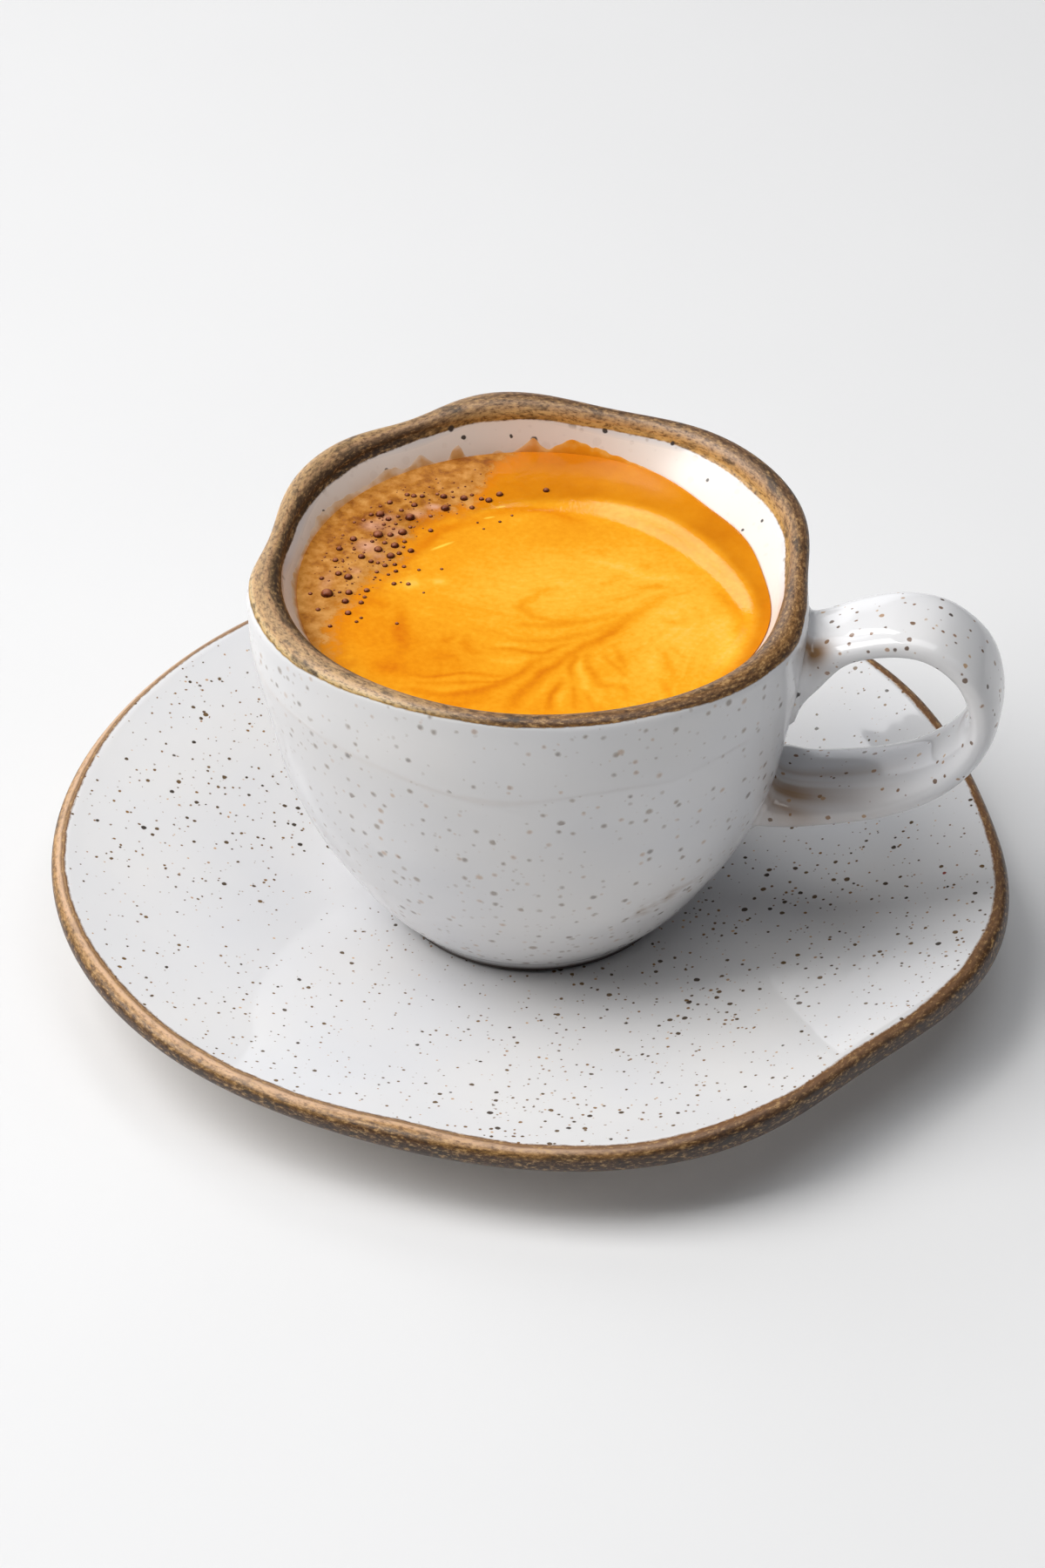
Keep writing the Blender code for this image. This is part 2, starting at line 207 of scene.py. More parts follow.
# %% Saucer
def make_saucer(columns=288):
    turn = round_about(columns)[None]
    radius = dented(SAUCER_RADIUS, SAUCER_DENTS, turn[0])[None]
    height = waved(SAUCER_FLOOR + EDGE_RISE, EDGE_WAVES, turn[0])[None]
    half = waved(EDGE_HALF, EDGE_HALF_WAVES, turn[0])[None]
    edge, centre = radius - EDGE_DEPTH, SAUCER_CENTRE - SHIFT
    under = rings(CUP_FOOT_CENTRE, np.array(UNDER_RADII)[:, None] * MM, FOOT_RECESS, turn)
    profile = smooth_curve(FOOT_RING, 22) * MM
    foot_ring = rings(CUP_FOOT_CENTRE, profile[:, :1], profile[:, 1:], turn)
    part = np.linspace(0.02, 0.97, 18)[:, None]
    below = rings(centre, FOOT_OUTSIDE + part * (edge - FOOT_OUTSIDE),
                  FOOT_RECESS + part ** 1.2 * (height - half - FOOT_RECESS), turn)
    out, up = superellipse(np.radians(np.linspace(-90, 90, 33))[:, None], EDGE_SQUARENESS)
    lip = rings(centre, edge + EDGE_DEPTH * out, height + half * up, turn)
    part = np.linspace(0.985, 0.01, 72)[:, None]
    at = WELL_RADIUS + part * (edge - WELL_RADIUS)
    rise = SAUCER_FLOOR + part ** 1.35 * (height + half - SAUCER_FLOOR)
    sag = SAG * np.sin(math.pi * part) * np.cos(3 * turn + 5 * part)
    wheel = WHEEL * np.cos(TURN * at / WHEEL_PITCH + turn) * np.sin(math.pi * part)
    slope = rings(centre, at, rise + sag + wheel, turn)
    well = rings(CUP_FOOT_CENTRE, np.linspace(30, 1.5, 14)[:, None] * MM, SAUCER_FLOOR, turn)
    grid = np.concatenate([under, foot_ring, below, lip, slope, well])
    run = along(grid)
    first = len(under) + len(foot_ring) + len(below)
    from_edge = (run - run[first + len(lip) // 2]) / MM
    bare = (grid[..., 2] < FOOT_BARE).astype(float)
    return skin("saucer_dish", grid, {"from_edge": from_edge, "bare_foot_and_shade": bare,
                                      "band": across_band(from_edge, turn, SAUCER_BARE)})


saucer = make_saucer()
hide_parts("saucer")

# %% [markdown]
# The cup was pinched between fingers while it was soft: the lip has deep dents that fade down the wall,
# and the whole cup leans a little. Three profiles of height and radius give its foot, its wall and its
# hollow, and two outlines give the lip.

# %% Cup measures
CUP_BASE = SAUCER_FLOOR + 0.3 * MM
CUP_FOOT = ((1.6, 12.0), (1.6, 19.2), (1.3, 19.9), (0.1, 20.5), (0.0, 21.2), (0.0, 22.9), (0.1, 23.6),
            (0.5, 23.9), (2.0, 24.1), (2.6, 24.4), (3.1, 25.4))
CUP_WALL = ((3.75, 26.5), (8.0, 30.0), (14.0, 33.8), (22.0, 38.2), (32.0, 41.9),
            (44.0, 44.3), (55.0, 46.3), (64.4, 46.8))
CUP_HOLLOW = ((7.0, 12.0), (9.0, 19.5), (13.0, 26.0), (20.0, 31.6), (30.0, 35.3),
              (44.0, 37.4), (55.0, 38.7), (61.0, 39.3))
HOLLOW = (0.0, ((20, 2.2 * MM, 18), (50, 2.6 * MM, 17), (190, 0.65 * MM, 30)))
LIP_OUTER = (48.3 * MM, ((85, 3.4 * MM, 20), (130, 2.5 * MM, 12.5), (180.5, 3.4 * MM, 16.5),
                         (244, 1.3 * MM, 19), (271, 2.0 * MM, 22.5), (9, 3.7 * MM, 19)))
LIP_INNER = (43.6 * MM, ((97, 2.4 * MM, 33), (192.5, 2.1 * MM, 29.5), (247, 1.2 * MM, 32),
                         (1, 2.6 * MM, 23)))
LIP_HEIGHT, LIP_WAVES = 65.6 * MM, ((1, 0.4 * MM, 101), (2, 1.3 * MM, 99.5))
COFFEE_LEVEL = 61.0 * MM
STAIN_AZIMUTH, STAIN_SPREAD, STAIN_HEIGHT = 165, 55, 1.8 * MM
STAIN_ROUND, LIP_CLEAR = 0.15, -1
# Dark foot band of the cup: bare clay, and higher up painted shade where it stands on the saucer.
FOOT_BARE_AND_SHADE_TOP, FOOT_BARE_AND_SHADE_FADE = 1.4 * MM, 0.3 * MM
# Place, radius and strength of each smear of iron.
CUP_SMEARS = ((24.4, -29.4, 28.7, 2.2, 0.55), (28.2, -26.5, 30.3, 2.4, 0.55), (31.9, -23.1, 31.5, 2.2, 0.5))
CUP_BARE = (((0, -3.3), (25, -3.6), (45, -4.7), (58, -4.4), (70, -3.8), (85, -3.7), (97, -4.4), (110, -5.1),
             (120, -4.3), (130, -3.6), (140, -4.3), (152, -4.9), (161, -4.5), (172, -3.5), (185, -3.2),
             (200, -3.6), (300, -4.0), (345, -3.4)),
            ((0, 2.2), (25, 2.4), (90, 2.4), (180, 2.8), (200, 3.2), (228, 3.5), (238, 2.8), (250, 2.35),
             (265, 2.05), (285, 2.05), (300, 2.0), (307, 1.9), (316, 2.5), (330, 2.9), (344, 3.2),
             (352, 2.4)))


def cup_centre(height):
    """The cup leans a little: its axis goes from the middle of the foot to the middle of the lip."""
    part = np.clip(np.asarray(height) / LIP_HEIGHT, 0.0, 1.0)[..., None]
    return CUP_FOOT_CENTRE + (CUP_LIP_CENTRE - CUP_FOOT_CENTRE) * part


def wall_radius(profile, outline, height, turn):
    """The profile's radius at a height, plus the outline's departure from its mean times the way up."""
    heights, radii = np.array(profile).T * MM
    rim = dented(*outline, np.ravel(turn)).reshape(np.shape(turn))
    mean = dented(*outline, fine_turn).mean()
    part = (height - heights[0]) / (LIP_HEIGHT - heights[0])
    return np.interp(height, heights, radii) + (rim - mean) * part


def cup_rings(radius, height, turn):
    """Rings about the leaning axis, lifted onto the saucer."""
    return rings(cup_centre(height), radius, height + CUP_BASE, turn)


def close_to(spots, grid):
    """The sum of strength * exp(-(distance to the spot / radius)^2), all in millimetres."""
    return sum(strength * np.exp(-(np.linalg.norm(grid / MM - (x, y, z), axis=-1) / radius) ** 2)
               for x, y, z, radius, strength in spots)


# %% [markdown]
# The rows of the cup run from under the foot, up the belly, over the lip as half an oval, and down inside.
# The belly is stretched to meet the lip where it rises, most near the top. Stain is where coffee has dried
# on the wall over its level, and smear is where iron was wiped onto the glaze. On the handle the smear
# measure also holds a wide painted shade round the lower root.

# %% Cup
def make_cup(columns=256):
    turn = round_about(columns)[None]
    outer, inner = dented(*LIP_OUTER, turn[0])[None], dented(*LIP_INNER, turn[0])[None]
    lip = waved(LIP_HEIGHT, LIP_WAVES, turn[0])[None]
    foot = smooth_curve(CUP_FOOT, 34) * MM
    wall = smooth_curve(CUP_WALL, 84)[:, :1] * MM
    lift = (lip - LIP_HEIGHT) * ((wall - wall[0]) / (LIP_HEIGHT - wall[0])) ** 2
    belly = wall_radius(smooth_curve(CUP_WALL, 84), LIP_OUTER, wall, turn)
    arc = np.linspace(0.0, math.pi, 33)[:, None]
    middle, half = (outer + inner) / 2, (outer - inner) / 2
    neck = np.linspace(0.0, 1.0, 12)[1:, None]
    hollow = smooth_curve(CUP_HOLLOW, 40)[::-1, :1] * MM
    inside = wall_radius(smooth_curve(CUP_HOLLOW, 40), HOLLOW, hollow, turn)
    grid = np.concatenate([
        cup_rings(radius, height, turn) for radius, height in (
            (foot[:, 1:], foot[:, :1]), (belly, wall + lift),
            (middle + half * np.cos(arc), lip + half * np.sin(arc)),
            (inner + neck * (inside[:1] - inner), lip + neck * (hollow[0] - lip)),
            (inside[1:], hollow[1:]))])
    crest = len(foot) + len(wall) + len(arc) // 2
    run = along(grid)
    bare = np.zeros((len(grid), columns))
    # Bare clay at the foot, and higher up painted shade where the cup stands on the saucer.
    bare[:len(foot)] = np.clip((FOOT_BARE_AND_SHADE_TOP - foot[:, :1]) / FOOT_BARE_AND_SHADE_FADE, 0.0, 1.0)
    from_edge = (run[crest] - run) / MM
    above = np.maximum(grid[..., 2] - CUP_BASE - COFFEE_LEVEL, 0.0)
    away = (np.degrees(turn) - STAIN_AZIMUTH + 180) % 360 - 180
    near = STAIN_ROUND + (1 - STAIN_ROUND) * np.exp(-(away / STAIN_SPREAD) ** 2)
    stain = np.exp(-above / STAIN_HEIGHT) * near * (from_edge < LIP_CLEAR)
    return skin("cup_body", grid, {"from_edge": from_edge, "bare_foot_and_shade": bare, "stain": stain,
                                   "smear_and_shade": close_to(CUP_SMEARS, grid),
                                   "band": across_band(from_edge, turn, CUP_BARE)})


cup = make_cup()
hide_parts("cup")

# %% [markdown]
# The handle is a pulled strap of clay, pressed on at both ends. Each cross section lies between an outer
# and an inner point of the side view. Where it meets the wall the strap swells into a fillet, as the
# potter's thumb leaves it: a quarter circle of the distance to the wall, added to both half widths. The
# fillet's radius is larger on the inner side of the strap than on the outer one.

# %% Handle
# Outer point, inner point and width of each cross section, in mm.
HANDLE = (((41.6, 60.6), (41.6, 44.0), 15.0), ((47.0, 61.6), (47.2, 50.4), 15.4),
          ((53.2, 64.0), (52.8, 58.0), 15.5), ((60.5, 65.9), (60.6, 60.8), 15.7),
          ((68.1, 64.9), (66.1, 60.2), 16.0), ((75.0, 59.0), (70.6, 56.2), 16.3),
          ((77.6, 50.0), (72.5, 50.0), 16.6), ((75.6, 42.1), (71.0, 44.5), 16.9),
          ((69.5, 34.4), (66.0, 38.4), 17.3), ((60.0, 28.8), (58.0, 33.8), 17.8),
          ((48.0, 25.1), (47.0, 31.1), 18.3), ((42.0, 23.9), (41.6, 31.3), 18.8),
          ((35.9, 23.3), (37.8, 31.6), 18.6))
HANDLE_SQUARENESS = 2.8
TOP_ROOT_FILLET, TOP_ROOT_LEAN = 1.8, -0.7
LOW_ROOT_FILLET, LOW_ROOT_LEAN = 1.0, -0.6
# Smudges of iron at both roots, and round the lower root a wide faint one that is painted shade of the cup
# on the lower bar: place and radius in mm, and strength.
HANDLE_SMEARS_AND_SHADE = ((46.5, -7.5, 70.0, 3.0, 1.0), (47.5, -7.0, 67.5, 2.5, 1.0), (44.0, -7.0, 40.0, 5.0, 1.0),
                 (50.0, -5.0, 38.5, 11.0, 0.5))
FAR_FROM_EDGE, OFF_BAND = 40.0, -1.0


def make_handle(rows=150, sides=56):
    strap = smooth_curve([(*outer, *inner, width) for outer, inner, width in HANDLE], rows)
    outer, inner, width = strap[:, None, :2], strap[:, None, 2:4], strap[:, None, 4]
    across, through = superellipse(round_about(sides)[None] + math.pi / sides, HANDLE_SQUARENESS)
    middle, reach = (outer + inner) / 2, (outer - inner) / 2
    side = middle + reach * through[..., None]
    wide = width / 2 * across
    turn = np.arctan2(wide, side[..., 0])
    height = side[..., 1] * MM
    wall = wall_radius(smooth_curve(CUP_WALL, 84), LIP_OUTER, height, turn) / MM
    gap = np.hypot(side[..., 0], wide) - wall
    fillet = np.where(np.arange(rows)[:, None] < rows / 2, TOP_ROOT_FILLET + TOP_ROOT_LEAN * through,
                      LOW_ROOT_FILLET + LOW_ROOT_LEAN * through)
    near = np.clip(gap / fillet, 0.0, 1.0)
    swell = fillet * (1.0 - np.sqrt(1.0 - (1.0 - near) ** 2))
    unit = reach / np.linalg.norm(reach, axis=-1, keepdims=True)
    side = side + unit * (swell * through)[..., None]
    wide = wide + swell * across
    grid = np.stack([side[..., 0] * MM - SHIFT[0], wide * MM - SHIFT[1], side[..., 1] * MM + CUP_BASE], -1)
    return skin("cup_handle", grid, {"from_edge": np.array(FAR_FROM_EDGE), "band": np.array(OFF_BAND),
                                     "smear_and_shade": close_to(HANDLE_SMEARS_AND_SHADE, grid)})


handle = make_handle()

# %% [markdown]
# The coffee fills the cup to its level. Its top is nearly flat, climbs a little where it wets the wall,
# and carries a low bank of froth at the back left. Where a part of it begins, such as the froth or the
# deep orange border, is a radius that changes with the azimuth, read off a short table. At the back right
# the foam swells up toward the wall, and the slope of that swell mirrors the window as a pale crescent. A
# table of azimuth gives the swell's radius, width and height.

# %% Coffee surface
FROTH_AZIMUTH, FROTH_SPREAD, FROTH_RADIUS, FROTH_WIDTH = 150, 48, 33.0 * MM, 9.0 * MM
FROTH_HEIGHT = 0.7 * MM
MENISCUS, MENISCUS_WIDTH = 0.3 * MM, 1.2 * MM
LUMPINESS = 0.08
# Azimuth and radius in mm. The swell has azimuth, radius, width and height in mm.
FROTH_BEGINS = ((90, 42.0), (105, 39.5), (112, 36.0), (118, 30.0), (124, 26.0), (131, 25.4), (139, 26.3),
                (147, 25.8), (161, 24.4), (170, 23.3), (180, 23.9), (185, 25.6), (192, 27.5), (199, 29.4),
                (204, 31.6), (208, 33.6), (215, 35.4), (224, 37.6), (236, 41.0), (250, 42.0))
BORDER_BEGINS = ((-60, 41.0), (-25, 38.0), (0, 36.2), (12, 34.8), (24, 32.6), (48, 30.6), (60, 29.8),
                 (77, 28.2), (93, 26.0), (120, 24.5), (160, 26.0), (200, 36.0), (230, 41.0), (300, 41.0))
SWELL = ((-60, 35.6, 4.4, 0.0), (-45, 35.6, 4.4, 0.14), (-30, 35.6, 4.4, 0.41), (-15, 35.6, 4.4, 0.71),
         (0, 35.2, 4.7, 1.01), (15, 32.3, 6.2, 1.29), (30, 29.7, 7.9, 1.55), (45, 28.2, 8.9, 1.76),
         (60, 27.2, 9.5, 1.83), (75, 26.2, 9.2, 1.51), (90, 25.1, 8.0, 1.19), (105, 24.9, 5.2, 1.12),
         (120, 24.9, 2.5, 0.58), (135, 24.9, 1.9, 0.0), (150, 24.9, 1.9, 0.0))


def past(table, x, y):
    """Millimetres from the radius that the table gives at this azimuth, out toward the wall."""
    azimuth, radius = np.array(table).T
    return np.hypot(x, y) - np.interp(np.degrees(np.arctan2(y, x)), azimuth, radius, period=360)


def froth_bank(x, y):
    """exp(-(angle)^2 - (distance)^2) away from the ridge of the bank: 1 on it."""
    away = (np.arctan2(y, x) - math.radians(FROTH_AZIMUTH) + math.pi) % TURN - math.pi
    out = (np.hypot(x, y) - FROTH_RADIUS) / FROTH_WIDTH
    return np.exp(-(away / math.radians(FROTH_SPREAD)) ** 2 - out ** 2)


def swell(x, y):
    """How far across the swell a place is, from 0 to 1 outward, and the swell's height at its azimuth."""
    angle, radius, width, height = smooth_curve(SWELL, 300).T
    azimuth = np.degrees(np.arctan2(y, x))
    middle, across, high = (np.interp(azimuth, angle, column) for column in (radius, width, height))
    return 0.5 + (np.hypot(x, y) - middle) / across, high


def coffee_height(x, y, from_wall):
    """Level, meniscus and froth, with a small lumpiness that only the froth has."""
    lumps = np.sin(x / MM * 1.9 + 1.3 * np.sin(y / MM * 0.9)) * np.sin(y / MM * 1.7 + np.sin(x / MM * 1.1))
    return (COFFEE_LEVEL + MENISCUS * np.exp(-from_wall / MENISCUS_WIDTH)
            + FROTH_HEIGHT * froth_bank(x, y) * (1.0 + LUMPINESS * lumps))


# %% [markdown]
# Pouring drew the crema into a feather: dark strands that run in from the left and from the front and
# join a stem going up to the right. Each strand is a curve through a few points. Between them lie paler
# strands and, in the froth, a few golden glints, which are painted highlights along the froth's edge.
# Broad soft patches make the middle and right paler than the rest.

# %% Strands of the marbling
# Width and strength, then x and y of each point in mm.
DARK_STRANDS = (
    (1.1, 0.75, 2.7, -33.6, 3.0, -30.5, 3.6, -27.3, 4.8, -24.4, 5.6, -22.1, 7.7, -19.5),
    (1.0, 0.85, 4.8, -24.4, 7.7, -19.5, 9.2, -16.5, 11.1, -13.1, 14.2, -9.3, 15.4, -7.0),
    (1.2, 0.7, 11.1, -13.1, 14.2, -9.3, 15.4, -7.0, 17.1, -2.9, 19.6, 0.3, 21.3, 2.5, 24.0, 4.5),
    (0.8, 0.6, -2.0, -10.5, -0.2, -9.6, 2.9, -9.2, 6.3, -8.5, 9.2, -7.4, 12.1, -5.8, 14.8, -3.4),
    (0.55, 0.6, -1.4, -14.5, 2.2, -13.8, 6.3, -12.9, 8.2, -11.8, 10.5, -10.1, 12.7, -8.1, 14.3, -6.0),
    (0.6, 1.0, -3.2, -17.4, -0.7, -17.1, 2.0, -17.0, 4.5, -16.5, 6.7, -14.6, 8.6, -13.4),
    (0.5, 0.7, -14.9, -27.2, -11.4, -26.4, -9.0, -25.7, -6.9, -25.0, -4.3, -24.9, -1.6, -24.3, 1, -23),
    (0.45, 0.5, -13.2, -28.7, -9.0, -28.1, -4.3, -27.0, -0.7, -25.6, 2.0, -22.6, 4.6, -18.6),
    (0.9, 0.8, -16.2, -31.0, -12.9, -31.3, -9.8, -31.1, -7.0, -30.7, -4.3, -29.9, -2.3, -28.8,
     -0.5, -26.7, 1.7, -23.8, 3.8, -20.0, 6.4, -16.1),
    (1.6, 0.55, -22.4, -26.1, -20.1, -26.1, -17.8, -26.1, -15.4, -26.3),
    (1.3, 0.5, -9.2, -33.4, -6.4, -33.2, -3.2, -32.1, -0.7, -29.9),
    (1.2, 0.7, -20.6, -7.4, -20.2, -10.9, -19.7, -14.2, -18.2, -17.6, -17.2, -20.4, -18.1, -22.7),
    (1.3, 0.6, -26.0, -8.1, -24.2, -8.7, -22.2, -9.6),
    (0.7, 0.5, -12.4, -14.9, -11.5, -16.9, -10.6, -15.3, -11.0, -13.4),
    (0.8, 0.65, -8.6, -14.6, -7.6, -17.1, -6.0, -18.5, -4.4, -19.3),
    (1.0, 0.4, -12.3, -20.0, -10.7, -20.7, -8.9, -19.8),
    (0.8, 0.6, 3.2, 1.4, 1.5, 0.3, -0.1, -2.1, -1.3, -4.1, -0.8, -5.8, 1.0, -6.9, 3.0, -7.4, 5.2, -7.7,
     8.0, -7.1),
    (0.6, 0.65, 15.4, -12.2, 16.8, -14.6, 18.2, -16.5, 19.2, -18.7),
    (0.6, 0.55, 13.8, -14.5, 15.5, -16.6, 17.1, -17.7, 19.5, -20.1),
    (0.9, 0.75, 12.0, -13.9, 12.3, -17.7, 13.6, -20.8, 15.5, -23.1, 17.8, -23.1, 19.4, -23.9,
     20.5, -26.3),
    (0.55, 0.95, 10.6, -16.2, 10.3, -18.2, 10.2, -20.1, 10.5, -22.9),
    (0.65, 0.95, 8.9, -23.3, 8.7, -26.0, 8.5, -28.4, 8.9, -32.3),
    (0.6, 0.65, 10.8, -23.8, 11.7, -26.0, 12.5, -28.7, 13.2, -31.9),
    (0.6, 0.55, 13.2, -24.3, 14.5, -26.4, 15.5, -28.6, 16.5, -30.7),
    (0.8, 0.55, 22.9, -11.1, 23.9, -13.6, 24.7, -15.6, 26.1, -17.7, 27.4, -19.8),
    (0.8, 0.45, 24.8, -19.9, 25.5, -21.4, 26.4, -23.9),
    (0.7, 0.35, 24.1, -9.9, 25.5, -11.5, 27.2, -13.6),
    (0.8, 0.4, 7.4, 13.3, 8.6, 13.0, 10.0, 13.3),
    (0.8, 0.35, 15.0, 10.5, 16.2, 10.3, 17.4, 10.3),
    (0.8, 0.45, 10.5, 3.5, 11.3, 4.6, 12.3, 6.1, 13.7, 6.7),
    (0.9, 0.7, 16.4, 4.2, 17.8, 4.8, 19.5, 5.1, 21.2, 5.0),
    (0.6, 0.5, 12.0, -0.3, 13.4, 0.5, 15.2, 1.7, 17.1, 2.8),
    (1.0, 0.55, 21.2, -3.1, 22.7, -4.2, 24.2, -4.4, 25.4, -3.2, 24.9, -1.3, 23.6, -1.1),
    (1.2, 0.7, 29.1, 6.9, 31.1, 4.5, 32.8, 2.1, 34.0, -0.6, 34.8, -3.6, 35.6, -6.2),
    (1.0, 0.35, 25.0, 2.2, 26.8, 0.1, 27.8, -2.7),
    (1.1, 0.9, -22.5, 3.3, -21.8, 6.1, -21.0, 8.5, -20.1, 11.1, -19.0, 12.9, -16.6, 15.2, -14.0, 17.6),
    (1.1, 0.85, -14.0, 17.6, -11.3, 20.6, -7.7, 22.4, -3.7, 22.7, 0.0, 22.2, 3.4, 21.3))
PALE_STRANDS = (
    (0.8, 0.55, 5.5, 11.6, 9.1, 10.0, 13.3, 8.9, 16.7, 7.8, 20.0, 7.8, 23.8, 8.8),
    (0.6, 0.7, 11.1, -16.5, 11.5, -20.3, 12.7, -23.4, 14.8, -26.1, 17.5, -28.1),
    (1.8, 0.4, 28.5, 0.5, 30.4, -2.1, 32.5, -5.6, 33.4, -9.4, 32.7, -13.4, 31.2, -14.7),
    (1.4, 1.3, -21.9, -2.2, -20.5, -2.1, -19.1, -1.6),
    (1.1, 1.1, -17.4, -1.5, -16.2, -1.0, -14.6, -0.6),
    (0.8, 0.45, 0.0, -7.6, 2.4, -8.1, 5.4, -8.4),
    (0.8, 0.45, -3.5, -16.7, -0.3, -15.8, 1.7, -15.6),
    (0.9, 0.45, -3.6, -20.2, 0.0, -20.4, 2.4, -18.9),
    (1.6, 0.35, 20.7, -13.0, 22.7, -17.5, 23.2, -22.6),
    (2.0, 0.3, 1.0, -5.4, 4.5, -4.1, 8.1, -1.9),
    (0.6, 0.35, -14.7, -28.1, -10.6, -27.2, -5.1, -26.3, -1.9, -24.9),
    (0.6, 0.4, -15.6, -30.4, -11.5, -29.8, -6.0, -28.9, -2.7, -27.2),
    (0.8, 0.45, 5.3, -32.6, 6.0, -29.2, 6.8, -26.1, 7.7, -22.6),
    (0.7, 0.45, 10.8, -31.4, 10.2, -27.8, 10.1, -24.5))
# Painted highlights: golden glints along the froth's edge, given the same way.
GLINTS = (
    (0.35, 1.0, -19.6, 7.3, -17.8, 9.2, -15.9, 11.1),
    (0.3, 0.9, -13.0, 18.3, -10.8, 19.5),
    (0.3, 0.9, -11.6, 21.9, -9.7, 22.8))
# Middle, half width and half depth in mm, and strength.
PATCHES = ((6, 3, 20, 8, 0.16), (26, -8, 9, 12, 0.22), (16, 11, 12, 5, 0.10), (-4, 16, 16, 7, -0.10),
           (-14, -22, 14, 10, -0.20), (4, -30, 12, 7, -0.08), (-27, -15, 8, 9, -0.30))
PINK_PATCHES = ((-29.9, 5.8, 1.9, 1.6, 1.0), (-21.3, 19.4, 1.5, 0.9, 1.0), (-30.2, 11.7, 1.8, 1.5, 0.8),
                (-26.0, 10.8, 1.8, 1.6, 0.6), (-23.6, 16.6, 2.2, 1.5, 0.6), (-30.1, -1.2, 1.2, 1.2, 0.5),
                (-28.4, 14.5, 1.5, 1.2, 0.7), (-27.1, 3.3, 1.2, 1.2, 0.6), (-34, -5, 1.2, 3.0, 0.4))
MIDDLE_TONE, DARK_DEPTH, DARKEST, PALE_HEIGHT = 0.54, 0.34, 1.15, 0.24


# %% [markdown]
# A strand's strength falls off as exp(-(distance to its curve / width)^2) and tapers to nothing at both
# ends. A slow warp of a third of a millimetre keeps the curves from looking drawn.

# %% Marbling
def strand(x, y, width, points):
    """exp(-(distance to the curve / width)^2) times the root of sin(pi * way along it)."""
    path = smooth_curve(points, 26)
    step = np.diff(path, axis=0)
    to_point = np.stack([x, y], axis=-1)[..., None, :] - path[:-1]
    share = np.clip((to_point * step).sum(-1) / (step ** 2).sum(-1), 0.0, 1.0)
    away = np.linalg.norm(to_point - share[..., None] * step, axis=-1)
    nearest = away.argmin(-1)[..., None]
    way = (nearest + np.take_along_axis(share, nearest, -1))[..., 0] / len(step)
    return np.exp(-(away.min(-1) / width) ** 2) * np.sqrt(np.sin(math.pi * np.clip(way, 0.02, 0.98)))


def strands(x, y, table):
    """The sum of strength * strand over a table."""
    return sum(strength * strand(x, y, width, np.reshape(points, (-1, 2)))
               for width, strength, *points in table)


def patches(x, y, table):
    """The sum of strength * exp(-(x away / width)^2 - (y away / depth)^2)."""
    return sum(s * np.exp(-((x - a) / w) ** 2 - ((y - b) / d) ** 2) for a, b, w, d, s in table)


def marbling(x, y):
    """Pale is 1 and dark is 0: patches less dark strands plus pale ones, at a warped place."""
    u = x + 0.28 * np.sin(y / 1.7 + 0.8 * np.sin(x / 2.9)) + 0.12 * np.sin(x / 0.9 + y / 1.3)
    v = y + 0.28 * np.sin(x / 2.1 + 1.1 * np.sin(y / 2.3)) + 0.12 * np.sin(y / 0.8 - x / 1.1)
    dark, light = np.minimum(strands(u, v, DARK_STRANDS), DARKEST), strands(u, v, PALE_STRANDS)
    return MIDDLE_TONE + patches(x, y, PATCHES) - DARK_DEPTH * dark + PALE_HEIGHT * light


# %% [markdown]
# The coffee's mesh is fine enough to carry the marbling as a measure at its points, so the material reads
# the strands from it. Its sides stand a little clear of the cup's wall, out of sight.

# %% Coffee
SIDE_CLEAR, EDGE_CLEAR = 0.3 * MM, 0.02 * MM
FAR_INSIDE = -9.0


def make_coffee(columns=560):
    turn = round_about(columns)[None]
    hollow = smooth_curve(CUP_HOLLOW, 12)[:, :1] * MM
    inside = wall_radius(smooth_curve(CUP_HOLLOW, 40), HOLLOW, hollow, turn)
    sides = cup_rings(inside[:-1] - SIDE_CLEAR, hollow[:-1] + SIDE_CLEAR, turn)
    edge = inside[-1:] - EDGE_CLEAR
    part = np.concatenate([1 - np.geomspace(0.001, 0.04, 10), np.linspace(0.954, 0.01, 150)])[:, None]
    x, y = part * edge * np.cos(turn), part * edge * np.sin(turn)
    from_wall = (1 - part) * edge
    centre = cup_centre(COFFEE_LEVEL)
    top = np.stack([centre[0] + x, centre[1] + y, coffee_height(x, y, from_wall) + CUP_BASE], axis=-1)
    u, v = top[..., 0] / MM, top[..., 1] / MM
    across, height = swell(u, v)
    measures = {"swell": (across, 0.0), "swell_height": (height, 0.0), "pale": (marbling(u, v), 0.3),
                "froth": (past(FROTH_BEGINS, u, v), FAR_INSIDE),
                "border": (past(BORDER_BEGINS, u, v), FAR_INSIDE),
                "glint": (strands(u, v, GLINTS), 0.0), "pink": (patches(u, v, PINK_PATCHES), 0.0)}
    measures = {label: np.concatenate([np.full((len(sides), columns), below), values])
                for label, (values, below) in measures.items()}
    return skin("coffee_crema", np.concatenate([sides, top]), measures)


coffee = make_coffee()
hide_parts("coffee")

# %% [markdown]
# When the cup was filled the foam stood higher, and left a thin scalloped film on the wall. It is a skin
# about a fifth of a millimetre thick. A short table of azimuth and height gives its top, high at the back
# and nearly nothing in front.

